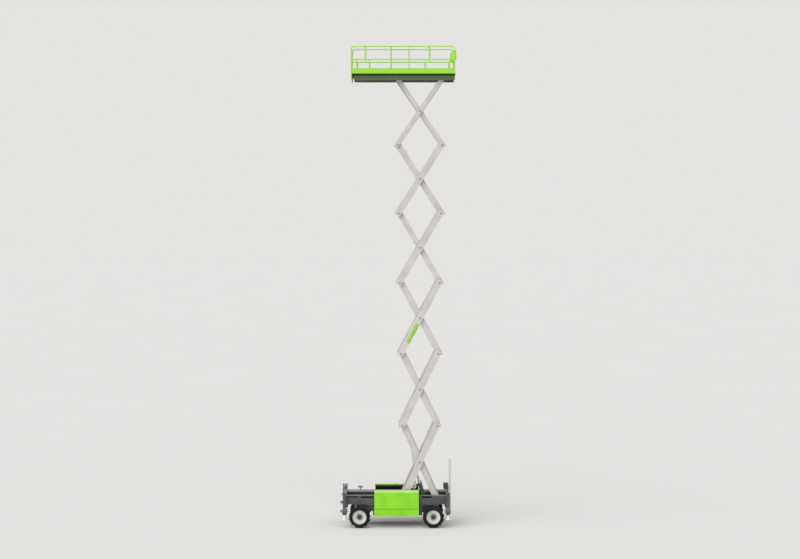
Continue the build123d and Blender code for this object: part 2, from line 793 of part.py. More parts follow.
# Beacon: a tapered lantern on a short post on the far rail
beacon_low = rail_top + beacon_lift
beacon_at = (front_axle_x, rail_outer_y - beacon_inset)
with BuildPart() as beacon:
    cross_pin(beacon_at, (rail_top, beacon_low), beacon_post_radius)
    with BuildSketch(Plane.XY.offset(beacon_low)):
        with Locations(beacon_at):
            RegularPolygon(beacon_radius, beacon_sides)
    extrude(amount=beacon_base)
    with BuildSketch(Plane.XY.offset(beacon_low + beacon_base)):
        with Locations(beacon_at):
            RegularPolygon(beacon_radius, beacon_sides)
    extrude(amount=beacon_cap, taper=beacon_taper)
keep(beacon, "beacon")

# Scissor arms: pairs of outer tubes that carry the pins, and inner tubes joined by cross tubes
tube_start = lower_pin[0] - arm_end
tube_end = upper_pin[0] + arm_end
tube_middle = (tube_start + tube_end) / 2
tube_length = tube_end - tube_start
tube_inner_face = inner_arm_y - arm_thickness / 2
cross_inside = cross_tube - 2 * arm_wall
for stage in range(1, stage_count + 1):
    top_stage = stage == stage_count
    # The end pins are on the outer arms of even stages: the pivots of odd stages' outer ends stay open
    pinned = stage % 2 == 0
    with BuildPart(arm_plane(stage, 1)) as outer_arm:
        depth = top_arm_depth if top_stage else outer_arm_depth
        for side in (-1, 1):
            with Locations((tube_middle, 0, side * outer_arm_y)):
                Box(tube_length, depth, arm_thickness)
                Box(tube_length, depth - 2 * arm_wall, arm_thickness - 2 * arm_wall, mode=Mode.SUBTRACT)
            seat = side * (inner_arm_face - pivot_pin_reach)
            face = side * (outer_arm_face + arm_wall / 2)
            cross_pin((0, 0), (seat, face), pivot_pin_radius)
            for pin in (lower_pin, upper_pin):
                if stage == 1 and pin is lower_pin:
                    roller_seat = side * (outer_arm_y + arm_thickness / 2 - arm_wall / 2)
                    roller_end = side * (outer_arm_y + arm_thickness / 2 + base_roller_reach)
                    cross_pin(pin, (roller_seat, roller_end), roller_radius)
                elif pinned:
                    cross_pin(pin, (seat, face), pivot_pin_radius)
                else:
                    boss = side * (inner_arm_face + open_pivot_gap)
                    cross_pin(pin, (boss, face), pivot_boss_radius)
            if stage == 1:
                prop_span = (side * outer_arm_y - prop_lug / 2, side * outer_arm_y + prop_lug / 2)
                prop_root = (prop_lug_y, arm_wall / 2 - outer_arm_depth / 2)
                span_box((prop_lug_x - prop_lug_radius, prop_lug_x + prop_lug_radius), prop_root, prop_span)
                cross_pin((prop_lug_x, prop_lug_y), prop_span, prop_lug_radius)
                cross_pin((prop_lug_x, prop_lug_y), prop_span, prop_lug_hole, mode=Mode.SUBTRACT)
    keep(outer_arm, f"outer_arm_{stage}")

    with BuildPart(arm_plane(stage, -1)) as inner_arm:
        depth = top_arm_depth if top_stage else inner_arm_depth
        for side in (-1, 1):
            with Locations((tube_middle, 0, side * inner_arm_y)):
                Box(tube_length, depth, arm_thickness)
                Box(tube_length, depth - 2 * arm_wall, arm_thickness - 2 * arm_wall, mode=Mode.SUBTRACT)
        cross_points = [(0, -top_cross_drop), lower_pin] if top_stage else [(0, 0), lower_pin, upper_pin]
        for at in cross_points:
            with Locations((at[0], at[1], 0)):
                Box(cross_tube, cross_tube, 2 * tube_inner_face + arm_wall)
                Box(cross_inside, cross_inside, 2 * tube_inner_face, mode=Mode.SUBTRACT)
        for side in (-1, 1):
            for at in [(0, 0)] if pinned else [(0, 0), lower_pin, upper_pin]:
                cross_pin(
                    at,
                    (side * (inner_arm_face - arm_wall - sliding_gap), side * (inner_arm_face + sliding_gap)),
                    pivot_pin_radius + pin_clearance,
                    mode=Mode.SUBTRACT,
                )
            if top_stage:
                roller_seat = side * (tube_inner_face + arm_wall / 2)
                cross_pin(upper_pin, (roller_seat - side * roller_width, roller_seat), roller_radius)
        if stage == 1:
            rod_pin = (0, -cylinder_pin_offset)
            gusset_root = arm_wall / 2 - inner_arm_depth / 2
            for side in (-1, 1):
                for offset in (cylinder_lug_inner, -cylinder_lug_outer):
                    low = side * cylinder_y + offset
                    lug_span = (low, low + cylinder_lug)
                    lug_x = (-cylinder_lug_radius, cylinder_lug_radius)
                    span_box(lug_x, (-cylinder_pin_offset, cross_tube / 2), lug_span)
                    cross_pin(rod_pin, lug_span, cylinder_lug_radius)
                shaft_start = side * (cylinder_y + cylinder_lug_outer - cylinder_lug / 2)
                cross_pin(rod_pin, (shaft_start, side * inner_arm_y), cylinder_pin_radius)
            middle_reach = cylinder_y - cylinder_lug_outer + cylinder_lug / 2
            cross_pin(rod_pin, (-middle_reach, middle_reach), cylinder_pin_radius)
            for side in (-1, 1):
                with BuildSketch(arm_plane(1, -1).offset(side * inner_arm_y - gusset / 2)):
                    with BuildLine():
                        Polyline(
                            (gusset_top_x, gusset_root),
                            (0, -cylinder_pin_offset - gusset_edge),
                            (-gusset_edge, -cylinder_pin_offset),
                            (gusset_low_x, gusset_root),
                            close=True,
                        )
                    make_face()
                extrude(amount=gusset)
    keep(inner_arm, f"inner_arm_{stage}")

# Lift cylinders: barrels on the chassis lugs, rods up to the lowest inner arm
rod_eye = arm_plane(1, -1).from_local_coords((0, -cylinder_pin_offset, 0))
cylinder_reach = hypot(rod_eye.X - cylinder_base_x, rod_eye.Z - cylinder_base_z)
cylinder_along = (rod_eye.X - cylinder_base_x, 0, rod_eye.Z - cylinder_base_z)
barrel_start = cylinder_lug_radius + cylinder_lug_gap
cylinder_plane = Plane(origin=(cylinder_base_x, 0, cylinder_base_z), x_dir=(0, 1, 0), z_dir=cylinder_along)
with BuildPart(cylinder_plane) as barrels:
    for side in (-1, 1):
        axis_at = (side * cylinder_y, 0)
        with Locations((*axis_at, 0)):
            Cylinder(cylinder_eye_radius, cylinder_eye_width, rotation=(0, 90, 0))
        cross_pin(axis_at, (0, barrel_start), cylinder_eye_width / 2)
        cross_pin(axis_at, (barrel_start, barrel_length), barrel_radius)
        bore_span = (barrel_start + barrel_cap, barrel_length - barrel_gland)
        cross_pin(axis_at, bore_span, barrel_bore, mode=Mode.SUBTRACT)
        gland_span = (barrel_length - 2 * barrel_gland, barrel_length)
        cross_pin(axis_at, gland_span, rod_radius + pin_clearance, mode=Mode.SUBTRACT)
        with Locations((*axis_at, 0)):
            eye_bore = cylinder_pin_radius + pin_clearance
            Cylinder(eye_bore, cylinder_eye_width, rotation=(0, 90, 0), mode=Mode.SUBTRACT)
keep(barrels, "lift_barrels")

with BuildPart(cylinder_plane) as rods:
    for side in (-1, 1):
        axis_at = (side * cylinder_y, 0)
        cross_pin(axis_at, (cylinder_reach - rod_length, cylinder_reach), rod_radius)
        with Locations((*axis_at, cylinder_reach)):
            Cylinder(cylinder_eye_radius, cylinder_eye_width, rotation=(0, 90, 0))
            Cylinder(cylinder_pin_radius, cylinder_eye_width, rotation=(0, 90, 0), mode=Mode.SUBTRACT)
keep(rods, "lift_rods")

# Platform: deck with side boards, skirts and front posts, underside tracks and the lugs on the top arms
deck_top = top_pin_z + deck_low + deck_plate
board_low = top_pin_z + side_board_low
board_high = top_pin_z + side_board_high
mid_rail_z = top_pin_z + mid_rail_rise
top_rail_z = top_pin_z + top_rail_rise
return_z = top_rail_z - rail_corner
top_lug_y = outer_arm_face - open_pivot_gap - top_lug
top_track_over = top_pin_z + roller_radius + sliding_gap
top_track_under = top_pin_z - roller_radius - sliding_gap
half_tube = rail_tube / 2
rail_y = platform_half_width - side_board / 2
with BuildPart() as platform_deck:
    span_box(
        (platform_front, platform_rear),
        (-platform_half_width, platform_half_width),
        (top_pin_z + deck_low, deck_top),
    )
    for side in (-1, 1):
        span_box(
            (platform_front, platform_rear),
            either_side(platform_half_width - side_board, platform_half_width, side),
            (board_low, board_high),
        )
        skirt_outer = platform_half_width - side_board
        span_box(
            (skirt_board_front, platform_rear),
            either_side(skirt_outer - skirt_board, skirt_outer, side),
            (top_pin_z - skirt_board_drop, deck_top),
        )
        span_box(
            (platform_front, platform_front + rail_tube),
            either_side(rail_y - half_tube, rail_y + half_tube, side),
            (top_pin_z - skirt_board_drop, board_high),
        )
        web_y = either_side(track_web_y, track_web_y + track_web, side)
        flange_y = either_side(track_web_y, track_web_y + track_web + track_reach, side)
        track_x = (track_front, track_rear)
        span_box(track_x, web_y, (top_track_under - track_flange, top_pin_z + deck_low))
        span_box(track_x, flange_y, (top_track_over, top_track_over + track_flange))
        span_box(track_x, flange_y, (top_track_under - track_flange, top_track_under))
        lug_y = either_side(top_lug_y, top_lug_y + top_lug, side)
        lug_x = (top_pin_x - top_lug_half, top_pin_x + top_lug_half)
        span_box(lug_x, lug_y, (top_pin_z, top_pin_z + deck_low))
        pin_along_y(top_pin_x, lug_y, top_pin_z, top_lug_half)
        pin_along_y(top_pin_x, lug_y, top_pin_z, pivot_pin_radius + pin_clearance, mode=Mode.SUBTRACT)
    span_box(
        (platform_rear - side_board, platform_rear),
        (-platform_half_width, platform_half_width),
        (board_low, board_high),
    )
    joist_count = int((platform_rear - platform_front) // joist_pitch)
    for number in range(joist_count + 1):
        joist_x = platform_front + number * joist_pitch
        span_box(
            (joist_x, joist_x + joist_width),
            (-platform_half_width, platform_half_width),
            (top_pin_z + deck_low - joist_depth, deck_top),
        )
keep(platform_deck, "platform_deck")

# Guard rails: a bent hoop of square tube on each side, posts, and returns beside the gate
bend_radius = rail_corner - half_tube
rail_front_x = platform_front + half_tube
rail_rear_x = platform_rear - half_tube
corner_plate_rear = platform_rear + corner_plate_overhang
rear_tube = (rail_rear_x - half_tube, rail_rear_x + half_tube)
gate_hinge_x = rail_rear_x - half_tube / 2
gate_hinge_y = gate_half_width - gate_knuckle_radius - sliding_gap
gate_hinge = (gate_hinge_x, gate_hinge_y)
gate_knuckles = (mid_rail_z + 2 * gate_knuckle_height, return_z - 2 * gate_knuckle_height)
with BuildPart() as guard_rails:
    for side in (-1, 1):
        with BuildLine():
            FilletPolyline(
                (rail_front_x, side * rail_y, board_high),
                (rail_front_x, side * rail_y, top_rail_z),
                (rail_rear_x, side * rail_y, top_rail_z),
                (rail_rear_x, side * rail_y, board_high),
                radius=bend_radius,
            )
        with BuildSketch(Plane.XY.offset(board_high)):
            with Locations((rail_front_x, side * rail_y)):
                Rectangle(rail_tube, rail_tube)
        sweep()
        tube_y = either_side(rail_y - half_tube, rail_y + half_tube, side)
        span_box((rail_front_x, rail_rear_x), tube_y, (mid_rail_z - half_tube, mid_rail_z + half_tube))
        for post_x in full_posts:
            span_box((post_x - half_tube, post_x + half_tube), tube_y, (board_high, top_rail_z))
        for post_x in lower_posts:
            span_box((post_x - half_tube, post_x + half_tube), tube_y, (board_high, mid_rail_z))
        for rail_z in (mid_rail_z, return_z):
            return_y = either_side(gate_half_width, rail_y, side)
            span_box(rear_tube, return_y, (rail_z - half_tube, rail_z + half_tube))
        gate_post = either_side(gate_half_width, gate_half_width + rail_tube, side)
        span_box(rear_tube, gate_post, (board_high, return_z + half_tube))
        span_box(
            (corner_plate_rear - corner_plate_length, corner_plate_rear),
            either_side(rail_y - corner_plate / 2, rail_y + corner_plate / 2, side),
            (mid_rail_z - half_tube, top_pin_z + corner_plate_top),
        )
    for knuckle_z in gate_knuckles:
        ear_span = (knuckle_z - gate_ear, knuckle_z)
        cross_pin(gate_hinge, ear_span, gate_knuckle_radius)
        ear_x = (gate_hinge_x - gate_pin_radius, gate_hinge_x + gate_knuckle_radius)
        span_box(ear_x, (gate_hinge_y, gate_half_width + half_tube), ear_span)
        cross_pin(gate_hinge, (knuckle_z - gate_ear, knuckle_z + gate_knuckle_height), gate_pin_radius)
keep(guard_rails, "guard_rails")

# Entry gate: a tube frame with a sheet in it, hung on one of the rear posts
gate_low = mid_rail_z - half_tube
gate_high = return_z + half_tube
gate_free = -gate_half_width + gate_gap
gate_hung = gate_hinge_y - gate_knuckle_radius - sliding_gap
with BuildPart() as gate:
    span_box(rear_tube, (gate_free, gate_hung), (gate_low, gate_high))
    span_box(
        rear_tube,
        (gate_free + rail_tube, gate_hung - rail_tube),
        (gate_low + rail_tube, gate_high - rail_tube),
        mode=Mode.SUBTRACT,
    )
    span_box(
        (rail_rear_x - gate_sheet / 2, rail_rear_x + gate_sheet / 2),
        (gate_free + half_tube, gate_hung - half_tube),
        (gate_low + half_tube, gate_high - half_tube),
    )
    for knuckle_z in gate_knuckles:
        knuckle_span = (knuckle_z + sliding_gap, knuckle_z + gate_knuckle_height)
        cross_pin(gate_hinge, knuckle_span, gate_knuckle_radius)
        strap_x = (gate_hinge_x - gate_pin_radius, gate_hinge_x + gate_pin_radius)
        span_box(strap_x, (gate_hung - gate_knuckle_radius, gate_hinge_y), knuckle_span)
        cross_pin(gate_hinge, knuckle_span, gate_pin_radius + pin_clearance, mode=Mode.SUBTRACT)
keep(gate, "gate")

# Roll-out extension: a plate on the deck, and bent rails inside the guard rails
extension_low = deck_top + sliding_gap
extension_rear = platform_front + extension_length
extension_rail_rear = platform_front + extension_rail_length - half_tube
extension_y = extension_half_width - half_tube
extension_across = (-extension_half_width, extension_half_width)
with BuildPart() as extension:
    span_box(
        (platform_front, extension_rear),
        extension_across,
        (extension_low, extension_low + extension_plate),
    )
    span_box((platform_front, platform_front + side_board), extension_across, (extension_low, board_high))
    for rail_z in (mid_rail_z, return_z):
        front_tube = (platform_front, platform_front + rail_tube)
        span_box(front_tube, extension_across, (rail_z - half_tube, rail_z + half_tube))
    for side in (-1, 1):
        with BuildLine():
            FilletPolyline(
                (rail_front_x, side * extension_y, extension_low),
                (rail_front_x, side * extension_y, top_rail_z),
                (extension_rail_rear, side * extension_y, top_rail_z),
                (extension_rail_rear, side * extension_y, mid_rail_z),
                radius=bend_radius,
            )
        with BuildSketch(Plane.XY.offset(extension_low)):
            with Locations((rail_front_x, side * extension_y)):
                Rectangle(rail_tube, rail_tube)
        sweep()
        tube_y = either_side(extension_y - half_tube, extension_y + half_tube, side)
        mid_span = (mid_rail_z - half_tube, mid_rail_z + half_tube)
        span_box((rail_front_x, extension_rail_rear + half_tube), tube_y, mid_span)
        plate_post = (extension_rear - rail_tube, extension_rear)
        span_box(plate_post, tube_y, (extension_low, top_rail_z))
        upper_post = (extension_post_x - half_tube, extension_post_x + half_tube)
        span_box(upper_post, tube_y, (mid_rail_z, top_rail_z))
keep(extension, "extension_deck")
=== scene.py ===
# %% [markdown]
# # A raised scissor lift, dressed around its CAD frame
#
# The frame holds every solid of the machine at its real size and place, in metres. This lesson gives
# those solids their paint, rubber and steel, and adds what a workshop would fit last: turned rims,
# treaded tyres, pin collars and fasteners. It also adds lips and black strips whose dark colour is
# painted shade. They could be modelled by hand. A script was chosen because it takes most of their
# places from the frame's own joints and boxes.

# %% Frame
import json

import bmesh
import bpy
import numpy as np
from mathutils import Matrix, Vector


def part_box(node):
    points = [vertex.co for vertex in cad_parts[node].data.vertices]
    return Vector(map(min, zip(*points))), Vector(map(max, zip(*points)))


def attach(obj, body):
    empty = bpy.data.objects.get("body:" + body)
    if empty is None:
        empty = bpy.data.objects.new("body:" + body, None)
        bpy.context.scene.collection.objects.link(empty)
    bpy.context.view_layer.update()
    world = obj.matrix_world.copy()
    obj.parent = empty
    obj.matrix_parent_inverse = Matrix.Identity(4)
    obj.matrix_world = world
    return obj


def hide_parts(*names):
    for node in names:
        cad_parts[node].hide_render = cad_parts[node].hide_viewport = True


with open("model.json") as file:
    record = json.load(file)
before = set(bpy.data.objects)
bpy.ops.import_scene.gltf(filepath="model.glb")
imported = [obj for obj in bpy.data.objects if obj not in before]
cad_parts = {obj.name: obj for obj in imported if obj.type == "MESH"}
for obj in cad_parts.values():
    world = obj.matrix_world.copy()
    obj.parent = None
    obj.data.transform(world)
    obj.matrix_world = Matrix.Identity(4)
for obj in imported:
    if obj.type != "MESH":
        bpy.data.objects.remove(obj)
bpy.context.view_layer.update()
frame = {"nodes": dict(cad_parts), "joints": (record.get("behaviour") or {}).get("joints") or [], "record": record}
joint_at = {joint["name"]: np.array(joint["pos_m"]) for joint in frame["joints"] if "pos_m" in joint}
print("nodes", len(frame["nodes"]), "joints placed", len(joint_at))

# %% [markdown]
# ## Three small tools for materials
#
# Paint makers give colours as sRGB hex codes, and a renderer counts in linear light, so one function
# turns the first into the second. Another adds a node with its settings and its links, and a third
# starts a material with its shader and output. Nodes could be wired by hand in the editor; in code,
# each finish below stays a list that can be read from top to bottom.

# %% Colour and node
LIME = "#8CD814"


def linear(code):
    """sRGB hex to linear light: c / 12.92 up to 0.04045, else ((c + 0.055) / 1.055) ** 2.4."""
    srgb = np.array([int(code[i:i + 2], 16) for i in (1, 3, 5)]) / 255
    return (*np.where(srgb <= 0.04045, srgb / 12.92, ((srgb + 0.055) / 1.055) ** 2.4), 1.0)


def node(tree, kind, inputs=None, **settings):
    """Adds a node: settings are its properties, inputs its values or the sockets that feed them."""
    made = tree.nodes.new(kind)
    for key, value in settings.items():
        setattr(made, key, value)
    for key, value in (inputs or {}).items():
        if isinstance(value, bpy.types.NodeSocket):
            tree.links.new(value, made.inputs[key])
        else:
            made.inputs[key].default_value = value
    return made


def start_finish(name, **shader_inputs):
    """An empty material with its shader and output: returns material, node tree and shader."""
    material = bpy.data.materials.new(name)
    material.use_nodes = True
    tree = material.node_tree
    tree.nodes.clear()
    named = {}
    for key, value in shader_inputs.items():
        named[key.replace("_", " ").title().replace("Ior", "IOR")] = value
    shader = node(tree, "ShaderNodeBsdfPrincipled", named)
    node(tree, "ShaderNodeOutputMaterial", {"Surface": shader.outputs["BSDF"]})
    return material, tree, shader


finishes = {}
print("lime in linear light", np.round(linear(LIME)[:3], 3))

# %% [markdown]
# ## Enamel on steel
#
# Arms, chassis, boxes and rails are sprayed with two-pack enamel. Sprayed paint is never one tone: it
# varies slowly over half a metre, its skin has a fine orange peel, pale dust settles on whatever looks
# up, and it rubs thin along edges. The colour given to edges and tops is also a painted highlight where
# it is paler than the paint: they are painted lighter, as they look where they catch the light. Worn
# edges could be painted by hand. Here a bevelled normal finds them: where it departs from the true
# normal there is an edge, and it catches the light as a bend does.

# %% Enamels
MM = 0.001
PATCH_MM = 450.0
# The peel of real paint is about 2 mm wide. It is drawn at 12 mm, so that it shows on an 18 m machine.
PEEL_MM = 12.0
SCUFF_MM = 60.0
EDGE_MM = 4.0
PATCH_FROM, PATCH_TO = 0.4, 0.65
BEND_NONE, BEND_FULL = 0.98, 0.85
SCUFF_FROM, SCUFF_TO = 0.5, 0.7
TOP_FROM, TOP_TO, TOP_DUST_AND_HIGHLIGHT = 0.3, 0.8, 0.8
COAT_ROUGHNESS, PEEL_STRENGTH, EDGE_SAMPLES = 0.15, 0.08, 4
# A Mix node has its factor in input 0 and its colours in inputs 6 and 7; the mixed colour is output 2.


def enamel(slot, name, colour, tone, wear_and_highlight_colour, roughness, coat):
    """Sprayed enamel: tone drifts in patches; edges and tops take wear, dust and, where paler, painted highlight.
    """
    material, tree, shader = start_finish(
        name,
        roughness=roughness,
        coat_weight=coat,
        coat_roughness=COAT_ROUGHNESS,
    )
    place = node(tree, "ShaderNodeTexCoord").outputs["Object"]
    patch = node(
        tree,
        "ShaderNodeTexNoise",
        {"Vector": place, "Scale": 1 / (PATCH_MM * MM), "Detail": 4.0},
    )
    drift = node(
        tree,
        "ShaderNodeMapRange",
        {"Value": patch.outputs["Fac"], "From Min": PATCH_FROM, "From Max": PATCH_TO},
    )
    paint = node(
        tree,
        "ShaderNodeMix",
        {0: drift.outputs["Result"], 6: linear(colour), 7: linear(tone)},
        data_type="RGBA",
    )
    soft = node(tree, "ShaderNodeBevel", {"Radius": EDGE_MM * MM}, samples=EDGE_SAMPLES)
    face = node(tree, "ShaderNodeNewGeometry").outputs["Normal"]
    bend = node(
        tree,
        "ShaderNodeVectorMath",
        {0: soft.outputs["Normal"], 1: face},
        operation="DOT_PRODUCT",
    )
    edge = node(
        tree,
        "ShaderNodeMapRange",
        {"Value": bend.outputs["Value"], "From Min": BEND_NONE, "From Max": BEND_FULL},
    )
    scuff = node(
        tree,
        "ShaderNodeTexNoise",
        {"Vector": place, "Scale": 1 / (SCUFF_MM * MM), "Detail": 6.0},
    )
    broken = node(
        tree,
        "ShaderNodeMapRange",
        {"Value": scuff.outputs["Fac"], "From Min": SCUFF_FROM, "From Max": SCUFF_TO},
    )
    # Scuffed edges: rubbed paint, and a painted highlight along each bend
    edge_wear_and_highlight = node(
        tree,
        "ShaderNodeMath",
        {0: edge.outputs["Result"], 1: broken.outputs["Result"]},
        operation="MULTIPLY",
    )
    upward = node(tree, "ShaderNodeSeparateXYZ", {"Vector": soft.outputs["Normal"]})
    # Upward faces: settled dust, and a painted highlight of the light from above
    dust = node(
        tree,
        "ShaderNodeMapRange",
        {"Value": upward.outputs["Z"], "From Min": TOP_FROM, "From Max": TOP_TO, "To Max": TOP_DUST_AND_HIGHLIGHT},
    )
    # The colour on edges and tops is wear and dust, and where paler also a painted highlight
    wear_and_highlight = node(
        tree,
        "ShaderNodeMath",
        {0: edge_wear_and_highlight.outputs["Value"], 1: dust.outputs["Result"]},
        operation="MAXIMUM",
    )
    coat_mix = node(
        tree,
        "ShaderNodeMix",
        {0: wear_and_highlight.outputs["Value"], 6: paint.outputs[2], 7: linear(wear_and_highlight_colour)},
        data_type="RGBA",
    )
    peel = node(
        tree,
        "ShaderNodeTexNoise",
        {"Vector": place, "Scale": 1 / (PEEL_MM * MM), "Detail": 1.0},
    )
    skin = node(
        tree,
        "ShaderNodeBump",
        {
            "Strength": PEEL_STRENGTH,
            "Distance": MM,
            "Height": peel.outputs["Fac"],
            "Normal": soft.outputs["Normal"],
        },
    )
    tree.links.new(coat_mix.outputs[2], shader.inputs["Base Color"])
    tree.links.new(skin.outputs["Normal"], shader.inputs["Normal"])
    finishes[slot] = material


# Gloss lime of the boxes: clear and saturated, with a painted highlight: a bright line along each bend
enamel("lime_paint", "gloss_lime_enamel", LIME, "#82CC10", "#C0E47C", 0.34, 0.25)
# Paler lime of the rails, the gate and the extension: the same paint, lightened as a painted highlight on thin
# tubes
enamel("painted_highlight_lime", "lime_enamel_with_painted_highlight", "#A4DA4C", "#98D03C", "#CCE89C", 0.38, 0.2)
# Satin warm grey of the arms: pale and dull, a little darker in patches
enamel("arm_paint", "satin_warm_grey_enamel", "#CBC8C5", "#BFBBB7", "#DAD8D4", 0.45, 0.1)
# Satin charcoal of the chassis: nearly black, with edges painted grey: partly wear, partly painted highlight
enamel("chassis_paint", "satin_charcoal_enamel", "#4C4D4D", "#424343", "#8A8A88", 0.42, 0.15)
# Rim enamel: off-white, and bright beside the tyre
enamel("rim_paint", "rim_white_enamel", "#DFE0DE", "#D0D1CE", "#B4B4B0", 0.4, 0.15)
# Machinery paint of the engine and the tank: dark, oily and uneven
enamel("block_iron", "machinery_grey_enamel", "#5A5C5D", "#46484A", "#8E8E8C", 0.5, 0.05)
print("enamels", sorted(finishes))

# %% [markdown]
# ## Deck sheet
#
# The platform is a weldment of sheet. Its outer boards and its floor are lime enamel, the floor is
# pressed as chequer plate, and the frame below the floor and inside the boards is a darker, mottled
# olive. Three materials would need the solid's faces sorted. One material does it instead: the place of
# a point says whether it is on the frame, and the surface normal says whether it is floor.

# %% Deck finish
CHEQUER_MM, UNDERSIDE_MOTTLE_MM = 60.0, 300.0
PLATFORM_Z = joint_at["platform_level"][2]
FLOOR_UNDERSIDE_Z = PLATFORM_Z + 0.201
BOARD_INSIDE_Y, BOARD_INSIDE_X = 0.8805, 2.162
FLOOR_FROM, FLOOR_TO, FLOOR_DUST = 0.4, 0.6, 0.7
BAR_EDGE, BAR_TOP, BAR_SLIM, BAR_MM, BAR_STRENGTH = 0.45, 0.3, 2.2, 2.0, 0.7


def deck_finish():
    """Lime boards, lime chequer floor, and darker mottled olive below the floor and inside the boards."""
    material, tree, shader = start_finish("deck_enamel_and_dark_olive", roughness=0.4, coat_weight=0.2)
    coords = node(tree, "ShaderNodeTexCoord").outputs["Object"]
    place = node(tree, "ShaderNodeSeparateXYZ", {"Vector": coords}).outputs
    face = node(tree, "ShaderNodeNewGeometry").outputs["Normal"]
    upward = node(tree, "ShaderNodeSeparateXYZ", {"Vector": face}).outputs["Z"]
    floor_part = node(
        tree,
        "ShaderNodeMapRange",
        {"Value": upward, "From Min": FLOOR_FROM, "From Max": FLOOR_TO},
    )
    across = node(tree, "ShaderNodeMath", {0: place["Y"]}, operation="ABSOLUTE")
    below = node(tree, "ShaderNodeMath", {0: place["Z"], 1: FLOOR_UNDERSIDE_Z}, operation="LESS_THAN")
    inside = node(
        tree,
        "ShaderNodeMath",
        {0: across.outputs["Value"], 1: BOARD_INSIDE_Y},
        operation="LESS_THAN",
    )
    ahead = node(tree, "ShaderNodeMath", {0: place["X"], 1: BOARD_INSIDE_X}, operation="LESS_THAN")
    sheltered = node(
        tree,
        "ShaderNodeMath",
        {0: inside.outputs["Value"], 1: ahead.outputs["Value"]},
        operation="MULTIPLY",
    )
    framed = node(
        tree,
        "ShaderNodeMath",
        {0: below.outputs["Value"], 1: sheltered.outputs["Value"]},
        operation="MULTIPLY",
    )
    dust = node(
        tree,
        "ShaderNodeTexNoise",
        {"Vector": coords, "Scale": 1 / (UNDERSIDE_MOTTLE_MM * MM), "Detail": 5.0},
    )
    underside_olive = node(
        tree,
        "ShaderNodeMix",
        {0: dust.outputs["Fac"], 6: linear("#414F29"), 7: linear("#4C5936")},
        data_type="RGBA",
    )
    paint = node(
        tree,
        "ShaderNodeMix",
        {0: framed.outputs["Value"], 6: linear("#97D636"), 7: underside_olive.outputs[2]},
        data_type="RGBA",
    )
    settled = node(
        tree,
        "ShaderNodeMapRange",
        {"Value": upward, "From Min": TOP_FROM, "From Max": TOP_TO, "To Max": FLOOR_DUST},
    )
    dusty = node(
        tree,
        "ShaderNodeMix",
        {0: settled.outputs["Result"], 6: paint.outputs[2], 7: linear("#B4DC66")},
        data_type="RGBA",
    )
    turned = node(
        tree,
        "ShaderNodeMapping",
        {"Vector": coords, "Rotation": (0.0, 0.0, np.pi / 4), "Scale": (1.0, BAR_SLIM, 1.0)},
    )
    bars = node(
        tree,
        "ShaderNodeTexVoronoi",
        {"Vector": turned.outputs["Vector"], "Scale": 1 / (CHEQUER_MM * MM), "Randomness": 0.0},
    )
    bar_part = node(
        tree,
        "ShaderNodeMapRange",
        {"Value": bars.outputs["Distance"], "From Min": BAR_EDGE, "From Max": BAR_TOP},
    )
    raised = node(
        tree,
        "ShaderNodeMath",
        {0: bar_part.outputs["Result"], 1: floor_part.outputs["Result"]},
        operation="MULTIPLY",
    )
    bump = node(
        tree,
        "ShaderNodeBump",
        {"Strength": BAR_STRENGTH, "Distance": BAR_MM * MM, "Height": raised.outputs["Value"]},
    )
    tree.links.new(dusty.outputs[2], shader.inputs["Base Color"])
    tree.links.new(bump.outputs["Normal"], shader.inputs["Normal"])
    finishes["deck_paint"] = material


deck_finish()
print("deck", finishes["deck_paint"].name)

# %% [markdown]
# ## Bare metals, cast iron, rubber and plastics
#
# Metals show how they were made: chrome plate is smooth, drawn aluminium has lines along its length,
# and cast iron is pitted. Rubber has no gloss and holds dust. Each could have a tree of its own. One
# recipe with different numbers is enough, because what differs is the size and the direction of the
# grain: a stretched noise gives colour and relief.

# %% Recipe for a worked surface
EVEN = (1.0, 1.0, 1.0)
GRAIN_STRENGTH = 0.5


def worked(slot, name, colour, tone, grain_mm, stretch, relief_mm, **shader_inputs):
    """A surface with one grain: noise cells of grain_mm, stretched per axis, tint it and raise it."""
    material, tree, shader = start_finish(name, **shader_inputs)
    coords = node(tree, "ShaderNodeTexCoord").outputs["Object"]
    drawn = node(tree, "ShaderNodeMapping", {"Vector": coords, "Scale": stretch})
    grain = node(
        tree,
        "ShaderNodeTexNoise",
        {"Vector": drawn.outputs["Vector"], "Scale": 1 / (grain_mm * MM), "Detail": 5.0},
    )
    tint = node(
        tree,
        "ShaderNodeMix",
        {0: grain.outputs["Fac"], 6: linear(colour), 7: linear(tone)},
        data_type="RGBA",
    )
    soft = node(tree, "ShaderNodeBevel", {"Radius": EDGE_MM * MM}, samples=EDGE_SAMPLES)
    bump = node(
        tree,
        "ShaderNodeBump",
        {
            "Strength": GRAIN_STRENGTH,
            "Distance": relief_mm * MM,
            "Height": grain.outputs["Fac"],
            "Normal": soft.outputs["Normal"],
        },
    )
    tree.links.new(tint.outputs[2], shader.inputs["Base Color"])
    tree.links.new(bump.outputs["Normal"], shader.inputs["Normal"])
    finishes[slot] = material


# Cast iron under thin black paint: pitted, with no clear highlight
worked("axle_iron", "painted_cast_iron", "#232425", "#3A3A39", 9.0, EVEN, 1.2, roughness=0.55)
print("nodes in the tree of cast iron", len(finishes["axle_iron"].node_tree.nodes))

# %% Metals
ALONG_RAIL = (0.2, 1.0, 1.0)
ALONG_ROD = (1.0, 1.0, 0.05)
ALONG_LEG = (1.0, 1.0, 0.1)
ALONG_STILE = (1.0, 1.0, 0.06)
# Zinc white of the legs: the brightest spot near the ground, with a faint grain along the leg
worked("leg_steel", "white_zinc_enamel", "#F0F0EE", "#E2E2DF", 8.0, ALONG_LEG, 0.1, roughness=0.35)
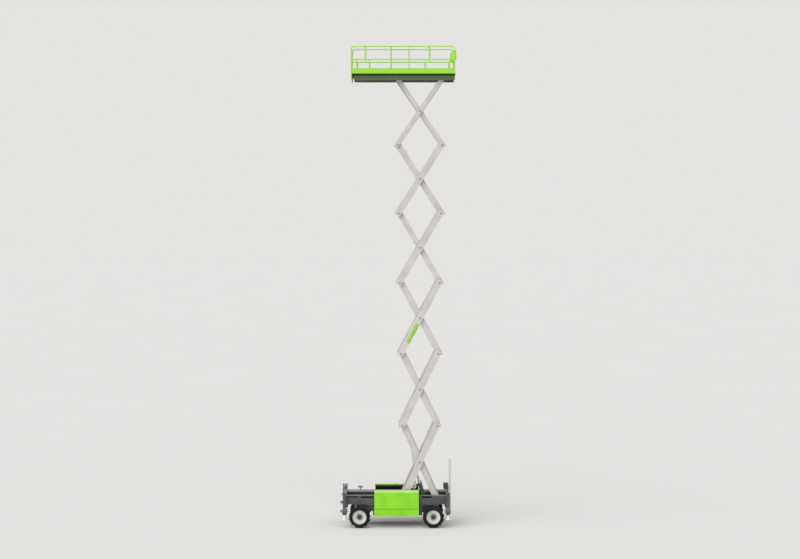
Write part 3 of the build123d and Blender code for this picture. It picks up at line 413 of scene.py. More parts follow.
# Hard chrome of the lift rods: a mirror with very faint drawing lines
worked(
    "rod_chrome", "hard_chrome", "#E4E5E6", "#D2D4D6", 6.0, ALONG_ROD, 0.02,
    metallic=1.0, roughness=0.14,
)
# Drawn aluminium of the ladder: pale, with lines along its stiles
worked(
    "ladder_alloy", "drawn_aluminium", "#D6D6D3", "#C2C2BE", 7.0, ALONG_STILE, 0.1,
    metallic=0.5, roughness=0.4,
)
# Black oxide of bolt heads: dark steel with a dry sheen
worked(
    "pin_oxide", "black_oxide_steel", "#3B3936", "#514D48", 6.0, EVEN, 0.2,
    metallic=0.6, roughness=0.45,
)
# Greased steel of the pins: paler than the oxide, and only a shade darker than the arms
worked(
    "pin_steel", "greased_pin_steel", "#8C8984", "#9C9893", 6.0, EVEN, 0.2,
    metallic=0.3, roughness=0.4,
)
# Slide steel of the wear strips: kept bright by what rubs along it
# Bright steel of the strips along the flanges' inner edges
worked("bright_strip_steel", "bright_strip_steel_finish", "#B4B5B2", "#A0A19E", 60.0, ALONG_RAIL, 0.1, roughness=0.35)
# Pale grey steel of the rails' caps: a grey line above the charcoal
worked(
    "pale_cap_steel", "pale_cap_steel", "#747573", "#646563", 60.0, ALONG_RAIL, 0.2,
    metallic=0.3, roughness=0.45,
)
print("finishes with metals", len(finishes))

# %% Rubber, plastics and odd paints
DULL = 0.1
LIP_GRAIN = (1.0, 1.0, 0.4)
# Tyre rubber: dull black, browned by dust in its grain
worked(
    "tyre_rubber", "tyre_rubber", "#161617", "#272624", 25.0, EVEN, 1.0,
    roughness=0.9, specular_ior_level=0.2,
)
# Moulded rubber of the control panel and the leg wipers: soft black
worked("moulded_rubber", "moulded_rubber", "#26272A", "#303134", 14.0, EVEN, 0.3, roughness=0.65)
# Black rubber in the rail slots and on the trays' backs: painted shade, black and dry, so that a slot reads as a
# gap
worked(
    "shade_black_rubber", "painted_shade_black_rubber", "#101011", "#18181A", 14.0, EVEN, 0.3,
    roughness=0.9, specular_ior_level=DULL,
)
# Beacon lens: smoked polycarbonate, the one smooth and shiny plastic
worked(
    "beacon_plastic", "smoked_polycarbonate", "#6B6B68", "#7C7C78", 40.0, EVEN, 0.1,
    roughness=0.2, ior=1.58,
)
# Hub paint: mid grey over iron, duller than the rim
worked("hub_grey", "grey_hub_enamel", "#B9BAB8", "#A6A7A5", 12.0, EVEN, 0.4, roughness=0.5)
# Shaded lime of the lip under the boards: the same paint, darkened as painted shade under the boards
worked(
    "painted_shade_lime", "lime_enamel_painted_shade", "#264606", "#1C3604", 90.0, LIP_GRAIN, 0.2,
    roughness=0.7, specular_ior_level=DULL,
)
# Vinyl film of the band on the arm: flat lime, thinner and paler than the enamel
worked("vinyl_lime", "lime_vinyl_film", "#A0CE4C", "#8FBC3C", 120.0, EVEN, 0.05, roughness=0.5)
print("finishes", len(finishes))

# %% [markdown]
# ## Paint on the solids
#
# The record names a material slot for each solid, and the finish of that name goes on it. They could be
# assigned one by one; a loop over the record leaves none out. Rails, gate and extension are mostly thin
# tubes, so they take a paler lime in place of the boxes' gloss: a painted highlight of the light on thin
# tubes.

# %% Paint the frame's nodes
HIGHLIT_NODES = ("guard_rails", "gate", "extension_deck")
for part in frame["record"]["subparts"]:
    painted = frame["nodes"][part["node"]].data.materials
    painted.clear()
    # Rails, gate and extension take the paler lime: a painted highlight on their thin tubes
    painted.append(finishes["painted_highlight_lime" if part["node"] in HIGHLIT_NODES else part["material_slot"]])

# %% [markdown]
# ## Surfaces from arrays
#
# Every new piece is one or more grids of points. A grid has rows and columns, and quads join its
# neighbours. Blender's own primitives and modifiers could make them too, but a grid shows its formula.
# Rows that meet, and rows that shrink to one point, are merged afterwards, which closes seams and
# poles, and the faces are then turned outwards.

# %% Grid to mesh
MERGE = 1e-5
SHARP = np.radians(35)


def grid_quads(rows, columns, first):
    """Corner numbers of the quads between neighbours in a grid whose points count from first."""
    index = first + np.arange(rows * columns).reshape(rows, columns)
    corners = (index[:-1, :-1], index[1:, :-1], index[1:, 1:], index[:-1, 1:])
    return np.stack(corners, axis=-1).reshape(-1, 4)


def piece(name, grids, body, finish):
    """One object from grids of shape (rows, columns, 3), riding a body with a finish."""
    points, quads, count = [], [], 0
    for grid in grids:
        rows, columns = grid.shape[:2]
        quads.append(grid_quads(rows, columns, count))
        points.append(grid.reshape(-1, 3))
        count += rows * columns
    mesh = bpy.data.meshes.new(name)
    mesh.from_pydata(np.concatenate(points), [], np.concatenate(quads).tolist())
    shell = bmesh.new()
    shell.from_mesh(mesh)
    bmesh.ops.remove_doubles(shell, verts=shell.verts, dist=MERGE)
    bmesh.ops.recalc_face_normals(shell, faces=shell.faces)
    shell.to_mesh(mesh)
    shell.free()
    mesh.shade_smooth()
    mesh.set_sharp_from_angle(angle=SHARP)
    mesh.materials.append(finishes[finish])
    made = bpy.data.objects.new(name, mesh)
    bpy.context.scene.collection.objects.link(made)
    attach(made, body)
    return made


print("a grid of 3 by 4 points has", len(grid_quads(3, 4, 0)), "quads")

# %% [markdown]
# ## Turned shapes and bars
#
# Nearly everything fitted to this machine is either turned, such as a rim or a pin, or a length of one
# section, such as a strip or a plate. Two functions cover them: a profile goes round an axis, or an
# outline goes along a line. Blender's Screw modifier and bevelled curves could do the same. Arrays were
# chosen because each formula stays in view and gives plain grids.

# %% Lathe and bar
UP = (0.0, 0.0, 1.0)
REARWARD = (1.0, 0.0, 0.0)
NEARLY_UPRIGHT = 0.9


def across_of(axis):
    """Two unit directions square to an axis: axis x up (x rearward if upright), then axis x the first."""
    axis = np.asarray(axis, float)
    first = np.cross(axis, UP if abs(axis[2]) < NEARLY_UPRIGHT else REARWARD)
    first /= np.linalg.norm(first)
    return first, np.cross(axis, first)


def lathe(profile, centre, axis, steps):
    """A profile of (radius, along) turned about an axis: centre + r cos t e1 + r sin t e2 + along axis."""
    first, second = across_of(axis)
    turn = np.linspace(0, 2 * np.pi, steps + 1)[:, None, None]
    radius, along = np.asarray(profile, float).T[:, None, :, None]
    around = np.cos(turn) * first + np.sin(turn) * second
    return np.asarray(centre) + radius * around + along * np.asarray(axis, float)


def bar(outline, start, end, up):
    """A closed outline of (across, up) carried from start to end, each end closed at its middle."""
    start, end, up = (np.asarray(v, float) for v in (start, end, up))
    along = (end - start) / np.linalg.norm(end - start)
    across = np.cross(along, up)
    ring = outline[:, :1] * across + outline[:, 1:] * up
    middle = np.zeros_like(ring) + ring[:-1].mean(axis=0)
    return np.stack((start + middle, start + ring, end + ring, end + middle))


def side_bars(outline, y, z, spans):
    """Bars along the machine on both sides: the outline carried over each span of x, at -y and at y."""
    return [
        bar(outline, (front, side * y, z), (rear, side * y, z), UP)
        for side in (-1, 1)
        for front, rear in spans
    ]


def rounded(width, height, radius, steps=24):
    """A rectangle's outline with round corners: the corner's middle plus radius times (cos t, sin t)."""
    turn = (np.arange(steps + 1) + 0.5) * 2 * np.pi / steps
    x = np.sign(np.cos(turn)) * (width / 2 - radius) + radius * np.cos(turn)
    y = np.sign(np.sin(turn)) * (height / 2 - radius) + radius * np.sin(turn)
    return np.stack((x, y), axis=-1)


def strip(thin, tall):
    """A thin strip's outline: a rectangle whose corners are rounded by a quarter of its thickness."""
    return rounded(thin, tall, thin / 4)


print("a lathe grid", lathe([(0, 0), (1, 0), (0, 1)], (0, 0, 0), UP, 8).shape)

# %% [markdown]
# ## Tyres
#
# The tyres are wide and treaded for soft ground, with slanted lugs that take turns left and right. A lug
# could be modelled once and copied around the wheel. One surface was chosen, because rubber is moulded
# in one and the lugs then grow out of the carcass. Two superellipses give the sections: the carcass, and
# the reach of the lugs. A mask that follows the slanted bars picks one or the other at each point of the
# grid, with a short slope between.

# %% Tyre pieces
TYRE_R, TYRE_W, BEAD_R = 0.419, 0.305, 0.270
LUG_H, LUG_BAR, LUG_SLANT, LUG_REACH, LUG_BACK = 0.026, 0.046, 0.026, 0.130, 0.018
LUG_ROOT_R, LUG_COUNT, LUG_SLOPE, LUG_INSET = 0.345, 24, 0.008, 0.001
ROUND_STEPS, ACROSS_STEPS = 432, 60
RIB_AT, RIB_WIDE, RIB_TALL = np.array([0.292, 0.318]), 0.005, 0.003
CARCASS_POWER, LUG_POWER = 5, 9


def superellipse(angle, half_width, reach, power):
    """Section of a tyre: across = w sin^(2/p), radius = bead + (reach - bead) cos^(2/p)."""
    across = half_width * np.sign(np.sin(angle)) * np.abs(np.sin(angle)) ** (2 / power)
    return across, BEAD_R + (reach - BEAD_R) * np.abs(np.cos(angle)) ** (2 / power)


def tyre_surface(centre, side):
    """A tyre around its wheel: carcass + mask * (lugs - carcass), where the mask is 1 on a slanted bar."""
    angle = np.linspace(-np.pi / 2, np.pi / 2, ACROSS_STEPS)
    base_across, base_radius = superellipse(angle, TYRE_W / 2 - RIB_TALL, TYRE_R - LUG_H, CARCASS_POWER)
    ribs = RIB_TALL * np.exp(-(((base_radius[:, None] - RIB_AT) / RIB_WIDE) ** 2)).sum(axis=1)
    base_across = base_across + np.sign(base_across) * ribs
    lug_across, lug_radius = superellipse(angle, TYRE_W / 2 - LUG_INSET, TYRE_R, LUG_POWER)
    turn = np.linspace(0, 2 * np.pi, ROUND_STEPS + 1)[:, None]
    mask = np.zeros((ROUND_STEPS + 1, ACROSS_STEPS))
    for hand in (-1, 1):
        outward = hand * lug_across
        ramp = (outward + LUG_BACK) / (LUG_REACH + LUG_BACK)
        shift = hand * LUG_SLANT * (2 * ramp - 1) / TYRE_R
        first = 2 * np.pi / LUG_COUNT * (1 if hand == side else 0)
        pitch = 4 * np.pi / LUG_COUNT
        away = (turn - first - shift + pitch / 2) % pitch - pitch / 2
        bar_mask = np.clip((LUG_BAR / 2 + LUG_SLOPE / 2 - np.abs(away) * TYRE_R) / LUG_SLOPE, 0, 1)
        end_mask = np.clip((outward + LUG_BACK) / LUG_SLOPE, 0, 1)
        mask = np.maximum(mask, bar_mask * end_mask)
    mask = mask * np.clip((base_radius - LUG_ROOT_R) / LUG_SLOPE, 0, 1)
    radius = base_radius + mask * (lug_radius - base_radius)
    across = base_across + mask * (lug_across - base_across)
    around = np.stack((radius * np.cos(turn), across, radius * np.sin(turn)), axis=-1)
    return np.asarray(centre) + np.concatenate((around, around[:, :1]), axis=1)


wheels = {name.removeprefix("roll_"): at for name, at in joint_at.items() if name.startswith("roll_")}
for place, centre in wheels.items():
    skin = piece(
        f"treaded_tyre_{place}",
        [tyre_surface(centre, np.sign(centre[1]))],
        f"wheel_{place}",
        "tyre_rubber",
    )
    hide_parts(f"tyre_{place}")
print("tyres", len(wheels), "faces each", len(skin.data.polygons))

# %% [markdown]
# ## Rims, hubs and nuts
#
# A rim is spun from plate, so a lathe is the natural tool: one profile turned about the axle. The
# disc is off-white, the sunk ring that the nuts clamp is grey, and the hub's drum is dark iron.
# Nuts could be cut from cylinders; a lathe turn of six steps is already a hexagon.

# %% Wheel profiles
RIM_R, RIM_INSIDE, RIM_HALF, WALL_R = 0.2699, 0.2559, 0.125, 0.246
DISC, DISC_BACK, POCKET, POCKET_R = 0.038, 0.016, 0.028, 0.145
HUB_R, HUB_END, HUB_FOOT_R, BORE_R, BORE_END = 0.078, 0.110, 0.084, 0.0451, 0.074
# Each row is a radius and a place along the axle, outwards
rim_profile = [
    # Edge of the pocket
    (POCKET_R, POCKET),
    (POCKET_R, DISC - 0.002),
    (POCKET_R + 0.003, DISC),
    # Disc and its dished ring
    (0.205, DISC),
    (0.225, DISC - 0.006),
    (WALL_R, DISC + 0.010),
    # Wall and rolled flange
    (0.252, DISC + 0.040),
    (RIM_INSIDE, RIM_HALF - 0.012),
    (0.260, RIM_HALF - 0.002),
    (0.265, RIM_HALF),
    (RIM_R, RIM_HALF - 0.004),
    # Barrel and back of the disc
    (RIM_R, -RIM_HALF),
    (RIM_INSIDE, -RIM_HALF),
    (RIM_INSIDE, DISC_BACK - 0.020),
    (WALL_R, DISC_BACK),
    (POCKET_R, DISC_BACK),
    (POCKET_R, POCKET),
]
hub_profile = [
    # Cover with a stepped edge
    (0, HUB_END),
    (0.060, HUB_END),
    (0.066, HUB_END - 0.003),
    (0.068, HUB_END - 0.010),
    # Drum and its foot
    (HUB_R - 0.002, HUB_END - 0.014),
    (HUB_R, HUB_END - 0.020),
    (HUB_R, POCKET + 0.006),
    (HUB_FOOT_R, POCKET),
    (HUB_FOOT_R, DISC_BACK),
    # Bore over the axle's end
    (BORE_R, DISC_BACK),
    (BORE_R, BORE_END),
    (0, BORE_END),
]
ring_profile = [
    (HUB_FOOT_R, POCKET),
    (POCKET_R, POCKET),
    (POCKET_R, DISC_BACK),
    (HUB_FOOT_R, DISC_BACK),
    (HUB_FOOT_R, POCKET),
]
print("rim across", round(2 * RIM_R, 3), "wide", 2 * RIM_HALF)

# %% Wheel pieces
NUT_RING, NUT_COUNT, NUT_R, NUT_TALL = 0.112, 10, 0.017, 0.020
COVER_RING, COVER_COUNT, COVER_R, COVER_TALL = 0.056, 6, 0.009, 0.008
HEAD_SIDES, HEAD_EASE = 6, 0.8
RIM_STEPS, HUB_STEPS = 96, 72


def head_profile(radius, tall, foot):
    """A domed head from its foot up: full width to 0.8 of its height, and 0.8 of its width on top."""
    return [
        (0, foot),
        (radius, foot),
        (radius, HEAD_EASE * tall),
        (HEAD_EASE * radius, tall),
        (0, tall),
    ]


def nuts(middle, axis, ring, count, radius, tall):
    """Hexagons on a circle: a domed six-sided turn, repeated at count places around the axis."""
    first, second = across_of(axis)
    turn = np.arange(count)[:, None] * 2 * np.pi / count
    places = middle + ring * (np.cos(turn) * first + np.sin(turn) * second)
    head = lathe(head_profile(radius, tall, 0), (0, 0, 0), axis, HEAD_SIDES)
    return [head + at for at in places]


for place, centre in wheels.items():
    axis = np.array((0.0, np.sign(centre[1]), 0.0))
    body = f"wheel_{place}"
    turned_rim = lathe(rim_profile, centre, axis, RIM_STEPS)
    rim = piece(f"spun_rim_{place}", [turned_rim], body, "rim_paint")
    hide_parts(f"rim_{place}")
    turned_ring = lathe(ring_profile, centre, axis, HUB_STEPS)
    piece(f"clamp_ring_{place}", [turned_ring], body, "hub_grey")
    covers = nuts(centre + HUB_END * axis, axis, COVER_RING, COVER_COUNT, COVER_R, COVER_TALL)
    hub = [lathe(hub_profile, centre, axis, HUB_STEPS)] + covers
    piece(f"hub_drum_{place}", hub, body, "axle_iron")
    wheel_nuts = nuts(centre + POCKET * axis, axis, NUT_RING, NUT_COUNT, NUT_R, NUT_TALL)
    piece(f"wheel_nuts_{place}", wheel_nuts, body, "hub_grey")
print("wheel pieces", 4 * len(wheels))

# %% [markdown]
# ## Pins of the scissor
#
# Each pivot shows on the outer arms as a welded collar with the end of a greased pin in it. Places could
# be typed in, but the joints give them: the stack is upright, so an outer arm's lower pin lies to the
# left of its centre and its upper pin to the right, at the spread that the pivots of that level have.

# %% Pin profiles
ARM_FACE = 0.710
COLLAR_R, COLLAR_OUT, PIN_R, PIN_FACE = 0.062, 0.010, 0.036, 0.006
FOOT, EASE, DOME, DRILL_R, DRILL_FLOOR_R, DRILL_DEEP = -0.002, 0.004, 0.002, 0.012, 0.010, 0.004
collar_profile = [
    (PIN_R, FOOT),
    (COLLAR_R, FOOT),
    (COLLAR_R, COLLAR_OUT - EASE),
    (COLLAR_R - EASE, COLLAR_OUT),
    (PIN_R, COLLAR_OUT),
    (PIN_R, FOOT),
]
pin_profile = [
    (0, FOOT),
    (PIN_R, FOOT),
    (PIN_R, PIN_FACE),
    (PIN_R - EASE, PIN_FACE + DOME),
    # Centre hole that the lathe left
    (DRILL_R, PIN_FACE + DOME),
    (DRILL_FLOOR_R, PIN_FACE - DRILL_DEEP),
    (0, PIN_FACE - DRILL_DEEP),
]
print("collar across", 2 * COLLAR_R, "pin across", 2 * PIN_R)

# %% Pin collars and ends
STAGES = 6
COLLAR_STEPS, PIN_STEPS = 40, 32
stack_x = joint_at["centre_1"][0]
level_names = ["left_1_2", "right_2_3", "left_3_4", "right_4_5", "left_5_6", "platform_level"]
levels = [joint_at[name] for name in level_names]
spread = [abs(at[0] - stack_x) for at in levels]
pin_count = 0
for stage in range(1, STAGES + 1):
    pins = [(stack_x, joint_at[f"centre_{stage}"][2]), (stack_x + spread[stage - 1], levels[stage - 1][2])]
    if stage > 1:
        pins.append((stack_x - spread[stage - 2], levels[stage - 2][2]))
    faces = [((x, side * ARM_FACE, z), (0.0, side, 0.0)) for x, z in pins for side in (-1.0, 1.0)]
    body = f"outer_arm_{stage}"
    collars = [lathe(collar_profile, *face, COLLAR_STEPS) for face in faces]
    piece(f"pin_collars_{stage}", collars, body, "arm_paint")
    ends = [lathe(pin_profile, *face, PIN_STEPS) for face in faces]
    piece(f"centre_pin_ends_{stage}", ends[:2], body, "pin_steel")
    piece(f"side_pin_ends_{stage}", ends[2:], body, "pin_steel")
    pin_count += len(pins)
print("pins on outer arms", pin_count)

# %% [markdown]
# ## Arm ends and the coloured band
#
# The arms are rectangular tubes, so their ends are shut with welded plates. One arm wears a plain
# band of lime film along its lower half, nearer to its lower edge. The band could be a stripe in the
# paint; as a thin piece of its own it can be peeled off. Both are placed in the arm's own directions:
# along the tube, and towards its upper side.

# %% End plates
ARM_DEEP, TOP_DEEP, INNER_DEEP, ARM_WIDE, ARM_WALL = 0.250, 0.170, 0.215, 0.100, 0.008
ARM_END, KINK, OUTER_Y, INNER_Y = 0.095, np.radians(1.08), 0.660, 0.530
ARM_UP, ARM_LOW = 1.550, 1.554915
PLATE, PLATE_LAP, PLATE_ROUND, PLATE_SUNK = 0.006, 0.002, 0.006, 0.002


def arm_frame(stage, lean):
    """Centre, direction up the tube and direction to its upper side: it leans by atan2(run, rise) - kink."""
    centre = joint_at[f"centre_{stage}"]
    rise, run = levels[stage - 1][2] - centre[2], spread[stage - 1]
    angle = np.arctan2(run, rise) - KINK
    along = np.array((lean * np.sin(angle), 0.0, np.cos(angle)))
    return np.array((stack_x, 0.0, centre[2])), along, np.array((-lean * np.cos(angle), 0.0, np.sin(angle)))


opening = PLATE_LAP - 2 * ARM_WALL
tips = (-ARM_LOW * np.cos(KINK) - ARM_END, ARM_UP * np.cos(KINK) + ARM_END)
plate_count = 0
for stage in range(1, STAGES + 1):
    for kind, lean, y, deep in (("outer", 1, OUTER_Y, ARM_DEEP), ("inner", -1, INNER_Y, INNER_DEEP)):
        deep = TOP_DEEP if stage == STAGES else deep
        middle, along, upper = arm_frame(stage, lean)
        outline = rounded(ARM_WIDE + opening, deep + opening, PLATE_ROUND)
        plates = []
        for side in (-1, 1):
            for tip, inward in zip(tips, (1, -1)):
                at = middle + tip * along + np.array((0.0, side * y, 0.0)) + inward * PLATE_SUNK * along
                plates.append(bar(outline, at, at + inward * PLATE * along, upper))
        piece(f"{kind}_arm_ends_{stage}", plates, f"{kind}_arm_{stage}", "arm_paint")
        plate_count += len(plates)
print("end plates", plate_count)

# %% Band
BAND_STAGE, BAND_FROM, BAND_TO, BAND_MIDDLE, BAND_WIDE, FILM = 3, -1.06, -0.24, -0.035, 0.150, 0.001
middle, along, upper = arm_frame(BAND_STAGE, 1)
bands = []
for side in (-1, 1):
    face = middle + BAND_MIDDLE * upper + np.array((0.0, side * (ARM_FACE + FILM / 2), 0.0))
    bands.append(bar(strip(FILM, BAND_WIDE), face + BAND_FROM * along, face + BAND_TO * along, upper))
piece("arm_band", bands, "outer_arm_3", "vinyl_lime")
print("band length", BAND_TO - BAND_FROM)

# %% [markdown]
# ## Platform lip
#
# Below the lime boards runs a folded lip painted dark: painted shade, for the shade under the boards. It
# could be a dark line in the paint, but as a strip with round edges it keeps its own small shadow.
# Its outline is carried along both sides and the rear.

# %% Lip pieces
LIP_LIFT, LIP_TALL, LIP_OUT = 0.075, 0.085, 0.003
BOARD_Y, DECK_FRONT, DECK_REAR = 0.905, -1.804, 2.188
lip_outline = rounded(LIP_OUT, LIP_TALL, LIP_OUT / 3)
lip_z = PLATFORM_Z + LIP_LIFT + LIP_TALL / 2
lips = side_bars(lip_outline, BOARD_Y + LIP_OUT / 2, lip_z, [(DECK_FRONT, DECK_REAR)])
rear_x = DECK_REAR + LIP_OUT / 2
lips.append(bar(lip_outline, (rear_x, -BOARD_Y, lip_z), (rear_x, BOARD_Y, lip_z), UP))
# The lip's dark lime is painted shade under the boards
piece("deck_shade_lip", lips, "platform", "painted_shade_lime")
print("lip height", LIP_TALL)

# %% [markdown]
# ## Side boxes
#
# Each side box has a thin dark strip along its crease: painted shade, for the shade in the crease. A
# black sheet lines the back of its tray on the machine's side: painted shade, for the shade in the tray.
# A bump in the paint could draw the line; a thin strip also shows in the mesh.

# %% Crease strips and tray sheets
RAIL_Y = 0.835
CREASE_Z, COVER_Y, BOX_FRONT, BOX_REAR = 0.745, 1.140, -0.907, 0.797
CREASE_STRIP_TALL, CREASE_STRIP_OUT, CREASE_STRIP_INSET = 0.012, 0.004, 0.02
crease_strip_y = COVER_Y - CREASE_STRIP_OUT / 4
crease_strip_span = (BOX_FRONT + CREASE_STRIP_INSET, BOX_REAR - CREASE_STRIP_INSET)
crease_strips = side_bars(strip(CREASE_STRIP_OUT, CREASE_STRIP_TALL), crease_strip_y, CREASE_Z, [crease_strip_span])
for place, crease_strip in zip(("near", "far"), crease_strips):
    # Dark lime strip along the crease: painted shade
    piece(f"crease_shade_strip_{place}", [crease_strip], f"box_cover_{place}", "painted_shade_lime")
SHADE_SHEET_THIN, SHADE_SHEET_LOW, SHADE_SHEET_TALL, SHADE_SHEET_INSET = 0.003, 1.232, 0.118, 0.030
shade_sheet_y, shade_sheet_z = RAIL_Y - SHADE_SHEET_THIN / 2, SHADE_SHEET_LOW + SHADE_SHEET_TALL / 2
shade_sheet_span = (BOX_FRONT + SHADE_SHEET_INSET, BOX_REAR - SHADE_SHEET_INSET)
shade_sheets = side_bars(strip(SHADE_SHEET_THIN, SHADE_SHEET_TALL), shade_sheet_y, shade_sheet_z, [shade_sheet_span])
# Black sheet on each tray's back: painted shade
piece("tray_shade_sheets", shade_sheets, "chassis", "shade_black_rubber")
print("crease_strips", len(crease_strips), "shade_sheets", len(shade_sheets))

# %% [markdown]
# ## Caps and strips of the chassis rails
#
# The top flange of each chassis rail is capped with a pale grey steel bar, and it reads as a grey line
# from end to end. Black bars fill the slots below the caps, with a black strip along the slots' lower
# edge: both are painted shade, so that the slots read as dark gaps. A bright steel strip runs along the
# inner edge of each flange. All of them are straight lengths of one section, so they are bars that run
# along both rails.

# %% Rail pieces
CAP_FRONT, CAP_REAR, CAP_Y, CAP_Z = -1.989, 1.859, 0.7825, 1.2115
CAP_WIDE, CAP_TALL, CAP_ROUND = 0.109, 0.034, 0.004
rail_span = [(CAP_FRONT, CAP_REAR)]
caps = side_bars(rounded(CAP_WIDE, CAP_TALL, CAP_ROUND), CAP_Y, CAP_Z, rail_span)
piece("rail_caps", caps, "chassis", "pale_cap_steel")
# Black bars in the slots below the caps: painted shade, so that the slots read as dark gaps
SLOT_SHADE_Y, SLOT_SHADE_Z, SLOT_SHADE_WIDE, SLOT_SHADE_TALL, SLOT_SHADE_ROUND = 0.795, 1.1715, 0.036, 0.048, 0.006
slot_shade_bars = side_bars(rounded(SLOT_SHADE_WIDE, SLOT_SHADE_TALL, SLOT_SHADE_ROUND), SLOT_SHADE_Y, SLOT_SHADE_Z, rail_span)
piece("slot_shade_fill", slot_shade_bars, "chassis", "shade_black_rubber")
# Black strips along the slots' lower edge: painted shade
EDGE_SHADE_THIN, EDGE_SHADE_TALL, EDGE_SHADE_TOP = 0.003, 0.020, 1.149
EDGE_SHADE_SPANS = ((-1.440, -0.963), (0.930, 1.300))
edge_shade_y, edge_shade_z = RAIL_Y + EDGE_SHADE_THIN / 2, EDGE_SHADE_TOP - EDGE_SHADE_TALL / 2
edge_shade_strips = side_bars(strip(EDGE_SHADE_THIN, EDGE_SHADE_TALL), edge_shade_y, edge_shade_z, EDGE_SHADE_SPANS)
piece("slot_edge_shade", edge_shade_strips, "chassis", "shade_black_rubber")
STRIP_Y, STRIP_Z, STRIP_THIN, STRIP_TALL = 0.7285, 1.191, 0.004, 0.075
bright_strips = side_bars(strip(STRIP_THIN, STRIP_TALL), STRIP_Y, STRIP_Z, rail_span)
piece("bright_strips", bright_strips, "chassis", "bright_strip_steel")
print("cap length", round(CAP_REAR - CAP_FRONT, 3))

# %% [markdown]
# ## Beacon
#
# The beacon is a smoked dome on a turned base and a thin post. A sphere cut in half would look too tall,
# so the dome is a flattened curve: its radius falls slowly at first and quickly near the top.

# %% Beacon pieces
(bx0, by0, bz0), (bx1, by1, bz1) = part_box("beacon")
beacon_at = ((bx0 + bx1) / 2, (by0 + by1) / 2, 0.0)
POST_R, FLARE_R, LENS_R, BASE_Z, LENS_Z = 0.015, 0.060, 0.103, bz0 + 0.088, bz0 + 0.114
FLARE_TALL, LENS_SHARE, DOME_POWER, DOME_STEPS, BEACON_STEPS = 0.010, 0.96, 0.6, 12, 48
base_profile = [
    (0, bz0),
    (POST_R, bz0),
    (POST_R, BASE_Z - FLARE_TALL),
    (FLARE_R, BASE_Z),
    (LENS_R, BASE_Z),
    (LENS_R, LENS_Z),
    (0, LENS_Z),
]
turned_base = lathe(base_profile, beacon_at, UP, BEACON_STEPS)
foot = piece("beacon_base", [turned_base], "chassis", "chassis_paint")
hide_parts("beacon")
# Dome: radius = r cos^0.6 t, height = h sin t, from the rim up to the pole
rise = np.linspace(0, np.pi / 2, DOME_STEPS)
dome_r = LENS_R * LENS_SHARE * np.cos(rise) ** DOME_POWER
dome_z = LENS_Z + (bz1 - LENS_Z) * np.sin(rise)
lens_profile = np.concatenate(([(0, LENS_Z)], np.stack((dome_r, dome_z), axis=-1)))
lens = lathe(lens_profile, beacon_at, UP, BEACON_STEPS)
piece("beacon_lens", [lens], "chassis", "beacon_plastic")
print("beacon at", np.round(beacon_at, 3))

# %% [markdown]
# ## Ground controls and leg wipers
#
# The ground controls get a blank face plate with two toggle switches, turned as one profile each. Each
# stabiliser leg leaves its housing through a turned wiper collar that keeps dirt out. A torus would be
# nearly right for the collar, but the profile gives it the flat seat that it is pressed into.

# %% Control panel
(cx0, cy0, _), (cx1, _, cz1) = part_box("ground_controls")
OUT = np.array((0.0, -1.0, 0.0))
PANEL_WIDE, PANEL_TALL, PANEL_ROUND, PANEL_THICK = 0.140, 0.200, 0.020, 0.004
PANEL_SUNK, PANEL_DROP = 0.001, 0.129
SWITCH_X, SWITCH_AHEAD, SWITCH_DROP, SWITCH_STEPS = 0.035, 0.002, 0.05, 24
panel_at = np.array(((cx0 + cx1) / 2, cy0 + PANEL_SUNK, cz1 - PANEL_DROP))
panel = bar(rounded(PANEL_WIDE, PANEL_TALL, PANEL_ROUND), panel_at, panel_at + PANEL_THICK * OUT, UP)
# Nut, then the lever that tapers to its tip
switch_profile = [(0, 0), (0.012, 0), (0.010, 0.012), (0.004, 0.014), (0.003, 0.034), (0, 0.035)]
switches = [
    lathe(switch_profile, panel_at + (x, -SWITCH_AHEAD, -SWITCH_DROP), OUT, SWITCH_STEPS)
    for x in (-SWITCH_X, SWITCH_X)
]
piece("control_panel", [panel] + switches, "chassis", "moulded_rubber")
print("switches", len(switches))

# %% Leg wipers
LEG_BOTTOM, ROD_R, WIPER_R, WIPER_STEPS = 0.520, 0.0478, 0.066, 40
wiper_profile = [
    (ROD_R, 0.0),
    (ROD_R, -0.012),
    (WIPER_R - 0.008, -0.014),
    (WIPER_R, -0.008),
    (WIPER_R, 0.0),
    (ROD_R, 0.0),
]
for end in ("front", "rear"):
    low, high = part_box(f"leg_{end}_near")
    leg_x, leg_y = (low[0] + high[0]) / 2, abs(low[1] + high[1]) / 2
    wipers = [lathe(wiper_profile, (leg_x, side * leg_y, LEG_BOTTOM), UP, WIPER_STEPS) for side in (-1, 1)]
    piece(f"leg_wipers_{end}", wipers, "chassis", "moulded_rubber")
print("wiper across", 2 * WIPER_R)

# %% [markdown]
# ## Fasteners
#
# Bolt heads show where one weldment is bolted to another: the end beams, the hangers beside the
# boxes and the plates at the platform's corners. Instances would share one mesh; so few heads are
# simply copied into one piece. They are the same six-sided turns as the nuts.

# %% Bolt heads
BOLT_R, BOLT_TALL, BOLT_FOOT = 0.016, 0.012, -0.001
HOUSING_Y, CORNER_PLATE_Y = 1.075, 0.8985
HANGER_X, HANGER_Z = (-0.938, 0.835, 0.899), (0.52, 0.62, 0.72, 0.82)
BEAM_X, BEAM_Z = (-1.96, 1.77, 1.83), (0.95, 1.17)
HOUSING_X, HOUSING_Z = (-2.09, -2.02, 1.89, 1.96), (1.09, 1.18)
CORNER_X, CORNER_Z = (2.075, 2.205), (PLATFORM_Z + 0.748, PLATFORM_Z + 0.978)


def bolt_heads(xs, zs, y, side):
    """Heads on an upright face that looks across the machine, one at each x and z."""
    head = lathe(head_profile(BOLT_R, BOLT_TALL, BOLT_FOOT), (0, 0, 0), (0.0, side, 0.0), HEAD_SIDES)
    return [head + (x, side * y, z) for x in xs for z in zs]


